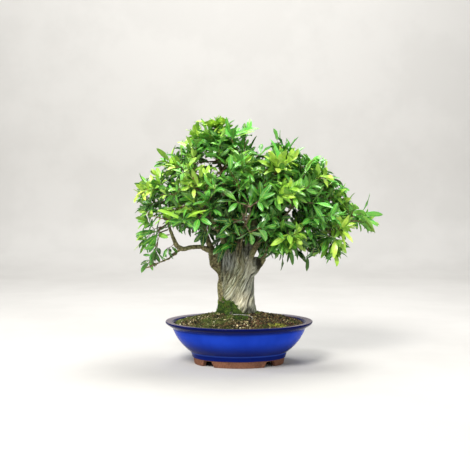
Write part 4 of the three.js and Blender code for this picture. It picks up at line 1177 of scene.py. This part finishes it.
# ---- each side twig starts on the nearest wood that lies further in: inner twigs first, and
# the single sprays last ----
wood_points = [trunk_points[trunk_points[:, 2] > 250][::7]]
wood_points += [points[::3] for points, _ in shoot_stems]
wood_owner = np.repeat(np.arange(-1, len(shoot_names)), [len(points) for points in wood_points])
wood_points = np.vstack(wood_points)
steps = np.linspace(0, 1, 6)[None, :, None]
twig_sets = []
heading = np.vstack([unit(target - core), unit(sprays[:, 3:])])
target = np.vstack([target, sprays[:, :3] + pot_middle])
is_spray = np.arange(len(target)) >= len(target) - len(sprays)
from_core = np.linalg.norm(target - core, axis=1)
growing = np.argsort(from_core + 1000 * is_spray, kind="stable")
for group in [*np.array_split(growing[: -len(sprays)], 8), growing[-len(sprays) :]]:
    ends = target[group]
    gap = np.linalg.norm(ends[:, None] - wood_points[None], axis=2)
    inner = np.linalg.norm(wood_points - core, axis=1)
    further_in = inner[None] < from_core[group][:, None] - 5
    cost = np.where(further_in, gap, gap * 1.8 + 30) + np.where(gap < 16, 30.0, 0.0)
    seat = cost.argmin(axis=1)
    run_length = np.linalg.norm(ends - wood_points[seat], axis=1)
    shortest, longest = np.where(is_spray[group], 3, 10), np.where(is_spray[group], 150, 88)
    fits = (run_length > shortest) & (run_length < longest)
    group, ends, seat, run_length = group[fits], ends[fits], seat[fits], run_length[fits]
    starts = wood_points[seat]
    # a twig that stands on a limb belongs with the shoot whose leaves are nearest to its end
    holders = np.where(wood_owner[seat] >= 0, wood_owner[seat], nearest_shoot(ends))
    swing = random.normal(0, 0.5, (len(ends), 3)) + 0.4 * unit(ends - core) - 0.5 * up
    bends = (starts + ends) / 2 + 0.17 * run_length[:, None] * unit(swing)
    curves = bent(starts[:, None], bends[:, None], ends[:, None], steps)
    twig_sets.append((starts, bends, ends, run_length, holders, heading[group], is_spray[group]))
    wood_points = np.vstack([wood_points, curves[:, 2:5].reshape(-1, 3)])
    wood_owner = np.concatenate([wood_owner, np.repeat(holders, 3)])
start, bend_at, end, twig_length, twig_owner, outward, is_spray = map(
    np.concatenate, zip(*twig_sets)
)
total = len(start)
start_each, bend_each, end_each = start[:, None], bend_at[:, None], end[:, None]
paths = bent(start_each, bend_each, end_each, steps)
twig_radii = (0.6 + 0.4 * np.clip(twig_length / 50, 0, 1.4))[:, None]
twig_radii = np.linspace(1.0, 0.5, 6)[None] * twig_radii

# ---- the leaves on those twigs: pairs a quarter turn apart, and two at the end ----
node_share = np.repeat([0.42, 0.64, 0.84, 1.0], 2)
node_spread = np.repeat([1.15, 1.0, 0.8, 0.42], 2)
quarter = np.pi / 2
node_turn = np.array([0.0, np.pi, quarter, 3 * quarter, 0.2, np.pi + 0.2, quarter, 3 * quarter])
leaf_grid = (total, len(node_share))
at = np.clip(node_share + random.normal(0, 0.04, leaf_grid), 0.15, 1.0)[..., None]
fill_root = bent(start_each, bend_each, end_each, at).reshape(-1, 3)
along_twig = unit(2 * (1 - at) * (bend_each - start_each) + 2 * at * (end_each - bend_each))
pull = np.where(is_spray, 1.3, 0.45)[:, None, None]
along_twig = unit(along_twig + pull * outward[:, None] + 0.1 * up)
helper = unit(random.normal(0, 1, (total, 1, 3)))
first = unit(np.cross(along_twig, np.broadcast_to(helper, along_twig.shape)))
second = np.cross(along_twig, first)
roll = node_turn + random.normal(0, 0.3, leaf_grid)
spread = (node_spread + random.normal(0, 0.22, leaf_grid))[..., None]
away = np.cos(roll)[..., None] * first + np.sin(roll)[..., None] * second
fill_ahead = (np.cos(spread) * along_twig + np.sin(spread) * away).reshape(-1, 3)
# low leaves hang
fill_count = len(fill_root)
fill_ahead[:, 2] -= 0.9 * (past(fill_root[:, 2], 300, -80) * random.random(fill_count))
fill_ahead = unit(fill_ahead)
fill_twig = np.repeat(np.arange(total), len(node_share))
fill_length = 20 + 17 * random.random(fill_count) ** 1.1 + np.where(is_spray[fill_twig], 5, 0)
fill_x, _, fill_z = (fill_root - pot_middle).T
# leaves are smaller at the left, and larger in front of the trunk's top
fill_length *= 1 - 0.2 * past(fill_x, -50, -60)
fill_length *= 1 + 0.22 * spot(fill_x, fill_z, 0, 290, 90, 50)
fill_width = fill_length * (0.3 + 0.12 * random.random(fill_count))
# a short twig has lost its lower leaves
chance = 0.35 + twig_length[:, None] / 60 + node_share * 0.45
fill_seen = random.random(leaf_grid) < np.clip(chance, 0, 0.97)

# ---- all leaves together: the shoots' own, those on the twigs, and the long single ones ----
own_count, long_count = len(root), len(long_root)
own, long_ones = slice(0, own_count), slice(-long_count, None)
long_length = np.linalg.norm(long_end - long_root, axis=1)
leaf_root = np.vstack([root, fill_root, long_root])
leaf_ahead = np.vstack([ahead, fill_ahead, long_ahead])
leaf_length = np.concatenate([length * 0.93, fill_length, long_length])
leaf_width = np.concatenate([width * 0.74, fill_width, long_length * long_leaves[:, 6]])
leaf_twig = np.concatenate([np.full(own_count, -1), fill_twig, np.full(long_count, -1)])
leaf_owner = np.concatenate([owner, twig_owner[fill_twig], nearest_shoot(long_root)])
leaf_count = len(leaf_root)
skyward = 0.8 * up + 0.5 * unit(leaf_root - core) + 0.6 * random.normal(0, 1, (leaf_count, 3))
# the shoots' own keep their faces, rolled a little forward where they stand edge-on
edge_on = np.clip(1 - np.abs(face[:, 1:2]) / 0.3, 0, 1)
skyward[own] = face - 0.45 * edge_on * np.array([0.0, 1.0, 0.0])
leaf_face = square_to(skyward, leaf_ahead)
leaf_curl = 0.15 + 0.6 * random.random(leaf_count)
leaf_curl[own] = 0.32
leaf_fold = 0.12 + 0.38 * random.random(leaf_count)
leaf_wave = 0.05 + 0.16 * random.random(leaf_count)

# a leaf is left out where it would pass the crown's box, lie in the stump, hide its front or
# hang too low
leaf_tip = leaf_root + leaf_ahead * leaf_length[:, None]
kept = ((leaf_tip > low_limit + 1.5) & (leaf_tip < high_limit - 1.5)).all(axis=1)
middle_point = (leaf_root + leaf_tip) / 2 - pot_middle
for spot_x, spot_y, spot_z in (middle_point.T, (leaf_tip - pot_middle).T):
    near_trunk = np.hypot(spot_x - trunk_x, spot_y) < np.where(spot_z < 240, 42, 26)
    kept &= ~(near_trunk & (spot_z < 262))
    before_trunk = (np.abs(spot_x + 6) < 30) & (spot_y < 0)
    kept &= ~(before_trunk & (spot_z < np.where(spot_x < -12, 236, 252)))
    kept &= spot_z > 196


def seen_from_front(points):
    """Where points about the pot's middle lie in elevation for the camera's eye: offsets from
    the middle and from the eye's height, in proportion to how near the points are."""
    near = eye_away / (eye_away + points[:, 1])
    return np.column_stack([points[:, 0] * near, eye_high + (points[:, 2] - eye_high) * near])


def shares_away(places, spots):
    """How far each place lies in elevation from each spot's middle, in shares of its reach."""
    shares = (places[:, None] - spots[:, :2]) / spots[:, 2:]
    return np.hypot(*shares.transpose(2, 0, 1))


# the crown is open in places: middle and half sizes in elevation of each gap
gaps = np.array(
    [
        (-70, 430, 30, 16), (-42, 410, 30, 15), (-92, 402, 16, 9), (47, 452, 15, 22),
        (12, 326, 12, 8), (-36, 292, 9, 7), (186, 340, 10, 8), (-128, 372, 8, 6), (-2, 388, 9, 6),
        (112, 330, 9, 6),
    ],
    float,
)
gap_share = shares_away(seen_from_front(middle_point), gaps).min(axis=1)
kept &= (gap_share > 1) | (random.random(leaf_count) < 0.16)
# the right side is clipped to an outline: its upper and lower edge in elevation
upper_edge = np.array(
    [
        (34, 600), (36, 508), (42, 458), (47, 446), (54, 466), (68, 478), (76, 498), (90, 498),
        (98, 474), (120, 454), (150, 450), (186, 438), (198, 410), (224, 392), (238, 366),
        (250, 332), (300, 318),
    ],
    float,
)
lower_edge = np.array(
    [
        (60, 150), (62, 224), (84, 216), (100, 220), (108, 234), (122, 244), (130, 224),
        (146, 212), (160, 222), (172, 232), (186, 222), (208, 206), (224, 224), (238, 246),
        (250, 276), (300, 280),
    ],
    float,
)
tip_x, tip_z = seen_from_front(leaf_tip - pot_middle).T
kept &= tip_z < np.interp(tip_x, *upper_edge.T) + 2
kept &= tip_z > np.interp(tip_x, *lower_edge.T) - 4
end_x, end_z = seen_from_front(end - pot_middle).T
twig_inside = end_z < np.interp(end_x, *upper_edge.T) - 4
kept &= np.where(leaf_twig >= 0, twig_inside[leaf_twig], True)
# the crown keeps the form of its shoots: no leaf stands far from one
form = [root, tip, (root + tip) / 2, trunk_points[trunk_points[:, 2] > 200][::60]]
form = np.vstack(form + [points[::14] for points, _ in shoot_stems])
leaf_middle = middle_point + pot_middle
square_gap = (leaf_middle**2).sum(axis=1)[:, None] + (form**2).sum(axis=1)
square_gap = square_gap - 2 * leaf_middle @ form.T
kept &= square_gap.min(axis=1) < 36.0**2
kept[own_count:-long_count] &= fill_seen.ravel()
kept[own] = kept[long_ones] = True

# ---- how young and how light each leaf is: from 0 to 1 in tone and in shade ----
spread_out = (leaf_root - core) / np.array([255.0, 150.0, 215.0])
outness = np.clip(np.linalg.norm(spread_out, axis=1), 0, 1.2)
patchy = layered_noise(leaf_root / 46.0, 61, 2)
# where tender growth shows from the front: middle from left to right, height, and reach
fresh_spots = np.array(
    [
        (-139, 418, 26), (-162, 402, 20), (-78, 388, 30), (-140, 324, 24), (-93, 326, 18),
        (-46, 512, 20), (-100, 470, 22), (-212, 320, 16), (-215, 256, 20), (82, 438, 18),
        (150, 434, 16), (186, 432, 14), (143, 404, 12), (170, 376, 22), (82, 374, 10),
        (222, 330, 18), (284, 304, 28), (220, 286, 42), (102, 272, 16), (82, 248, 14),
        (-186, 366, 18),
    ],
    float,
)
leaf_x, leaf_y, leaf_z = (leaf_root - pot_middle).T
spot_gap = shares_away(np.column_stack([leaf_x, leaf_z]), fresh_spots)
fresh = np.exp(-(spot_gap**2)).max(axis=1) * np.clip(0.8 - leaf_y / 100, 0, 1)
# painted shade: leaves in the middle of the crown's lower part and under its right side are painted
# darker and less fresh
shaded_under_right = spot(leaf_x, leaf_z, 134, 250, 34, 36)
shaded_inside = np.maximum(spot(leaf_x, leaf_z, 5, 285, 105, 55), 1.7 * shaded_under_right)
twig_luck = random.random(total)
luck = np.where(leaf_twig >= 0, twig_luck[leaf_twig], random.random(leaf_count))
is_young = np.array([slot_of[name] == "young_leaf" for name in shoot_names])[leaf_owner]
tone = 1.3 * (patchy - 0.5) + 0.9 * (outness - 0.78) + 0.8 * (luck - 0.5) + 0.2 * is_young
tone = np.clip(0.02 + tone + 0.76 * fresh - 0.4 * shaded_inside, 0, 1)
ends_of_twigs = np.tile(np.repeat([0, 0, 0.4, 1], 2), total)
at_end = np.concatenate([np.full(own_count, 0.3), ends_of_twigs, np.ones(long_count)])
tone = np.clip(tone * (0.75 + 0.35 * at_end), 0, 1)
tone[long_ones] = long_leaves[:, 7]
# painted light: the shade is random in part, and is painted lighter on the outer leaves, at the top
# and on the right, and darker in the shaded middle
shade = 0.48 + 0.26 * random.normal(0, 1, leaf_count) + 1.1 * (outness - 0.78)
shade = shade - 0.25 * shaded_inside
shade += 0.12 * np.clip(leaf_x / 150, -0.3, 1) + 0.14 * past(leaf_z, 410, 60)
shade = np.clip(shade, 0, 1)


def leaf_mesh(name, chosen):
    """The chosen leaves as one mesh, with the values that their finish reads."""
    sizes = leaf_length, leaf_width, leaf_curl, leaf_fold, leaf_wave
    points, faces = blades(
        *(values[chosen] for values in (leaf_root, leaf_ahead, leaf_face, *sizes))
    )
    mesh = build_mesh(name, np.clip(points, low_limit + 0.1, high_limit - 0.1), faces)
    set_values(
        mesh,
        **leaf_values(len(chosen)),
        tone=np.repeat(tone[chosen], leaf_corners),
        shade=np.repeat(shade[chosen], leaf_corners),
    )
    return mesh


def make_leaf_finish(name, deep, bright, fresh, tender, roughness):
    """A glossy leaf: deep to bright green by its shade, and on to fresh and tender by its
    tone, with a paler midrib, fine side veins and a dull, pale under side."""
    material, tree, shader, place = new_material(name)
    shade = stored(tree, "shade")
    grown, young = mix(tree, shade, deep, bright), mix(tree, shade, fresh, tender)
    colour = mix(tree, between(tree, stored(tree, "tone"), 0.25, 0.85), grown, young)
    colour = tint(tree, colour, mottle(tree, place, 60.0, 0.3, 0.7), 0.3, deep)
    from_rib = maths(tree, "ABSOLUTE", stored(tree, "across"))
    along = times(tree, stored(tree, "along"), 62.0)
    slant = maths(tree, "ADD", along, times(tree, from_rib, -7.0))
    veins = between(tree, maths(tree, "SINE", slant), 0.55, 1.0)
    colour = tint(tree, colour, veins, 0.14, tender)
    rib = between(tree, from_rib, 0.13, 0.03)
    colour = tint(tree, colour, rib, 0.5, tender)
    below = between(tree, stored(tree, "under"), 0.5, 0.56)
    colour = tint(tree, colour, below, 0.34, paint(112, 146, 84))
    roughness = between(tree, below, 0.0, 1.0, roughness, 0.62)
    relief = maths(tree, "ADD", times(tree, veins, 0.5), times(tree, rib, -1.0))
    normal = bumps(tree, relief, 0.35, 0.0005)
    surface(tree, shader, colour, roughness, specular=0.5, normal=normal)
    return material


grown_leaf = make_leaf_finish(
    "grown_leaf",
    paint(8, 64, 30),
    paint(98, 192, 68),
    paint(138, 204, 48),
    paint(204, 234, 92),
    0.22,
)
new_leaf = make_leaf_finish(
    "new_leaf",
    paint(26, 98, 34),
    paint(100, 184, 58),
    paint(150, 210, 46),
    paint(208, 238, 92),
    0.28,
)

twig_bark, tree, shader, place = new_material("twig_bark")
old = mottled(tree, place, paint(78, 62, 46), paint(142, 124, 98), 220.0, 0.35, 0.65)
red = mottled(tree, place, paint(78, 48, 34), paint(130, 84, 56), 320.0, 0.35, 0.65)
ribs = bumps(tree, noise(tree, place, 600.0, 3.0), 0.4, 0.0004)
surface(tree, shader, mix(tree, stored(tree, "age"), red, old), 0.66, normal=ribs)

twig_used = np.zeros(total, dtype=bool)
twig_used[leaf_twig[kept & (leaf_twig >= 0)]] = True
for part in sorted(set(map(crown_part, shoot_names))):
    members = [i for i, name in enumerate(shoot_names) if crown_part(name) == part]
    for piece_name, slot_name, finish in (
        (f"leaves_{part}", "leaf", grown_leaf),
        (f"young_leaves_{part}", "young_leaf", new_leaf),
    ):
        young = slot_name == "young_leaf"
        group = [i for i in members if (slot_of[shoot_names[i]] == "young_leaf") == young]
        if not group:
            continue
        chosen = np.flatnonzero(kept & np.isin(leaf_owner, group))
        leaves_piece = add_piece(
            piece_name, leaf_mesh(piece_name, chosen), finish, 70.0
        )
        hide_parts(*(shoot_names[i] for i in group))
    chosen = np.flatnonzero(twig_used & np.isin(twig_owner, members))
    rods = tubes(paths[chosen], twig_radii[chosen])
    stems = [shoot_stems[i] for i in members]
    # stems are older and greyer towards the middle of the crown
    stem_reach = [np.linalg.norm((points - core) / 260, axis=1) for points, _ in stems]
    ages = [np.clip(1.2 - reach * 0.6, 0.3, 1) for reach in stem_reach]
    twig_points, twig_faces = joined([rods, *stems])
    twig_points = np.clip(twig_points, low_limit + 0.1, high_limit - 0.1)
    twig_mesh = build_mesh(f"twigs_{part}", twig_points, twig_faces)
    set_values(twig_mesh, age=np.concatenate([np.zeros(len(rods[0])), *ages]))
    add_piece(f"twigs_{part}", twig_mesh, twig_bark, 80.0)

# =====================================================================================
# Moss and litter
# Moss has crept over the damp foot of the trunk and in patches over the soil. A thin bare
# root arcs over the soil in front, and a few dry leaves have dropped on it.
# =====================================================================================


def spikes(bases, directions, lengths, widths):
    """Blades of moss as slim four-sided solids: three corners round the base, across the
    direction of growth, and one at the end."""
    ring = rings_round(directions, 3, directions) * widths[:, None, None] / 2
    ring = (bases - 0.5 * directions)[:, None] + ring
    ends = bases + directions * lengths[:, None]
    points = np.concatenate([ring, ends[:, None]], axis=1).reshape(-1, 3)
    pattern = np.array([(0, 2, 1), (0, 1, 3), (1, 2, 3), (2, 0, 3)])
    return points, repeated(pattern, len(bases), 4)


random = np.random.default_rng(23)
mossy = np.flatnonzero((moss > 0.5) & (trunk_points[:, 2] > 98) & (y < 18))
mossy = random.choice(mossy, 2600)
moss_bases = [trunk_points[mossy]]
moss_ways = [trunk_normals[mossy] + 0.5 * random.normal(0, 1, (len(mossy), 3)) + 0.35 * up]
moss_lengths = [1.3 + 2.2 * random.random(len(mossy)) ** 2]
moss_tones = 0.1 + 0.4 * random.random(len(mossy)) + 1.3 * patch[mossy]
# painted light: the moss on the trunk is painted lighter towards its top and darker at its bottom
moss_tones = [moss_tones + np.clip((z[mossy] - 118) / 60, -0.1, 0.2)]
# patches on the soil: middle, half sizes, how many blades, their length, their splay and tone
for centre_x, centre_y, wide_x, wide_y, blades_in, tall, splay, fresh_tone in (
    (3, -55, 15, 10, 1000, 6.0, 0.45, 0.16),
    (80, -74, 22, 10, 1100, 4.4, 0.5, 0.88),
    (-14, -46, 16, 9, 420, 2.6, 0.5, 0.3),
    (-47, -8, 8, 10, 170, 4.6, 0.6, 0.4),
    (40, -10, 6, 8, 120, 4.6, 0.6, 0.35),
    (-76, -38, 40, 34, 760, 1.8, 0.5, 0.38),
    (100, 20, 16, 22, 260, 1.8, 0.5, 0.4),
    (20, 70, 60, 22, 640, 1.9, 0.5, 0.4),
    (-70, 46, 40, 26, 460, 1.9, 0.5, 0.3),
):
    around = random.random(blades_in) * 2 * np.pi
    out = np.sqrt(random.random(blades_in))
    bx, by = centre_x + wide_x * out * np.cos(around), centre_y + wide_y * out * np.sin(around)
    clump = value_noise(np.column_stack([bx / 5, by / 5, bx * 0]), 83)
    moss_bases.append(np.column_stack([bx + pot_x, by + pot_y, soil_height(bx, by) + 0.6]))
    moss_ways.append(up + splay * random.normal(0, 1, (blades_in, 3)) * np.array([1, 1, 0.2]))
    moss_lengths.append(tall * (0.3 + 1.1 * clump * random.random(blades_in)))
    moss_tone = fresh_tone + 0.5 * (clump - 0.5) + 0.2 * random.normal(0, 1, blades_in)
    moss_tones.append(np.clip(moss_tone, 0, 1))
moss_bases, moss_lengths = np.vstack(moss_bases), np.concatenate(moss_lengths)
moss_ways, moss_widths = unit(np.vstack(moss_ways)), 0.55 + 0.1 * moss_lengths
moss_blades = spikes(moss_bases, moss_ways, moss_lengths, moss_widths)
moss_mesh = build_mesh("moss_tufts", *moss_blades)
set_values(moss_mesh, tone=np.repeat(np.concatenate(moss_tones), 4))

moss_green, tree, shader, place = new_material("moss_green")
blade = ramp(
    tree,
    stored(tree, "tone"),
    [
        (0.0, paint(22, 42, 12)),
        (0.35, paint(58, 88, 26)),
        (0.65, paint(106, 138, 40)),
        (1.0, paint(186, 186, 70)),
    ],
)
blade = tint(tree, blade, mottle(tree, place, 260.0, 0.4, 0.65), 0.4, paint(40, 52, 20))
surface(tree, shader, blade, 0.75, specular=0.25)
add_piece("moss_tufts", moss_mesh, moss_green, 80.0)

root_line = np.array(
    [
        (-14, -36, 107), (-5, -40, 108.3), (5, -42, 108.3), (15, -43, 107.2), (23, -45, 105.5),
        (28, -50, 103.6), (28, -57, 101.2), (25, -64, 98.8), (21, -70, 95.2),
    ]
)
# the line in quarter steps, smoothed along its length with its two ends held
root_steps = np.linspace(0, 8, 33)
root_path = np.column_stack([np.interp(root_steps, np.arange(9), axis) for axis in root_line.T])
smoothing = np.array([1, 4, 6, 4, 1]) / 16
for _ in range(4):
    for axis in range(3):
        root_path[2:-2, axis] = np.convolve(root_path[:, axis], smoothing, mode="valid")
root_radii = np.interp(np.linspace(0, 1, 33), [0, 0.15, 0.7, 1], [1.2, 0.95, 0.75, 0.45])
root_mesh = build_mesh("surface_root", *tubes((root_path + pot_middle)[None], root_radii[None]))
root_bark, tree, shader, place = new_material("root_bark")
grey = mottled(tree, place, paint(84, 84, 76), paint(158, 158, 150), 200.0, 0.35, 0.65)
ribs = bumps(tree, noise(tree, place, 700.0, 3.0), 0.4, 0.0004)
surface(tree, shader, grey, 0.8, normal=ribs)
add_piece("surface_root", root_mesh, root_bark, 80.0)

fallen = np.array(
    [
        (44, -34), (15, -73), (-34, -62), (62, -50), (-82, -20), (98, -30),
        (-6, -88), (34, -82), (-58, 36), (30, 66), (84, 34),
    ],
    float,
)
fallen_count = len(fallen)
fallen_turn = random.random(fallen_count) * 2 * np.pi
fallen_rise = random.uniform(-0.1, 0.25, fallen_count)
fallen_root = np.column_stack([fallen + pot_middle[:2], soil_height(*fallen.T) + 2.6])
fallen_ahead = unit(np.column_stack([np.cos(fallen_turn), np.sin(fallen_turn), fallen_rise]))
fallen_up = up + 0.35 * random.normal(0, 1, (fallen_count, 3))
fallen_face = square_to(fallen_up, fallen_ahead)
fallen_length = random.uniform(10, 17, fallen_count)
bends = ((0.5, 1.1), (0.3, 0.8), (0.1, 0.3))
bends = [random.uniform(least, most, fallen_count) for least, most in bends]
fallen_width = fallen_length * 0.36
litter = blades(fallen_root, fallen_ahead, fallen_face, fallen_length, fallen_width, *bends)
litter_mesh = build_mesh("dry_leaves", *litter)
litter_tone = np.repeat(random.random(fallen_count), leaf_corners)
set_values(litter_mesh, across=leaf_values(fallen_count)["across"], tone=litter_tone)
dry_leaf, tree, shader, place = new_material("dry_leaf")
husk = mix(tree, stored(tree, "tone"), paint(168, 138, 88), paint(226, 212, 164))
rib = between(tree, maths(tree, "ABSOLUTE", stored(tree, "across")), 0.16, 0.04)
husk = tint(tree, husk, rib, 0.5, paint(140, 104, 66))
husk = tint(tree, husk, mottle(tree, place, 420.0, 0.4, 0.7), 0.5, paint(122, 92, 60))
surface(tree, shader, husk, 0.7)
add_piece("dry_leaves", litter_mesh, dry_leaf, 70.0)

# =====================================================================================
# Floor, lights and camera
# A pale sweep of paper, a large soft light from the upper left, weaker ones from the right,
# from above and from the far left, and one on the sweep behind.
# =====================================================================================

sweep_run = np.array(
    [(-6000, 0), (1900, 0), (2180, 14), (2380, 90), (2480, 250), (2500, 500), (2500, 3000)], float
)
sweep_sides = [np.insert(sweep_run, 0, side, axis=1) for side in (-6000.0, 6000.0)]
sweep_points = np.stack(sweep_sides, axis=1).reshape(-1, 3)
sweep_row = np.arange(len(sweep_run) - 1)[:, None] * 2
sweep_mesh = build_mesh("sweep", sweep_points, sweep_row + np.array([[0, 1, 3, 2]]))
sweep_mesh.polygons.foreach_set("use_smooth", np.ones(len(sweep_mesh.polygons), dtype=bool))
paper, tree, shader, place = new_material("pale_paper")
surface(tree, shader, mottled(tree, place, paint(184, 182, 178), paint(188, 186, 182), 3.0), 0.9)
sweep_mesh.materials.append(paper)
stand("sweep", sweep_mesh)


def soft_light(name, place_at, aim, size, power, colour):
    """A square area light that faces a point."""
    light = bpy.data.lights.new(name, "AREA")
    light.shape = "SQUARE"
    light.size, light.energy, light.color = size, power, colour
    lamp = stand(name, light)
    lamp.location = place_at
    lamp.rotation_euler = (Vector(aim) - Vector(place_at)).to_track_quat("-Z", "Y").to_euler()


soft_light("key_light", (-0.95, -2.1, 2.3), (0, 0, 0.25), 0.9, 118.0, (1.0, 0.98, 0.95))
soft_light("fill_light", (2.0, -1.8, 1.0), (0, 0, 0.25), 0.9, 22.0, (0.95, 0.98, 1.0))
soft_light("top_light", (0.5, 0.3, 2.4), (0, 0, 0.3), 1.0, 36.0, (1.0, 1.0, 1.0))
soft_light("side_light", (-2.3, -0.3, 1.5), (0, 0, 0.3), 0.7, 26.0, (0.97, 0.99, 1.0))
soft_light("wall_light", (0.0, 1.1, 2.7), (0, 2.5, 0.5), 1.4, 46.0, (1.0, 1.0, 1.0))

world = bpy.data.worlds.new("pale_room")
bpy.context.scene.world = world
world.use_nodes = True
world.node_tree.nodes.clear()
sky = {"Color": (0.93, 0.95, 1.0, 1.0), "Strength": 0.3}
background = put(world.node_tree, "ShaderNodeBackground", sky).outputs["Background"]
put(world.node_tree, "ShaderNodeOutputWorld", {"Surface": background})
bpy.context.scene.view_settings.view_transform = "Standard"

camera_data = bpy.data.cameras.new("camera")
camera_data.sensor_width = 36.0
camera_data.lens = 65.49
camera = stand("camera", camera_data)
camera.location = ((pot_x - 8.5) * mm, (pot_y - eye_away) * mm, eye_high * mm)
camera.rotation_euler = (math.radians(90 - 2.522), 0.0, 0.0)
bpy.context.scene.camera = camera
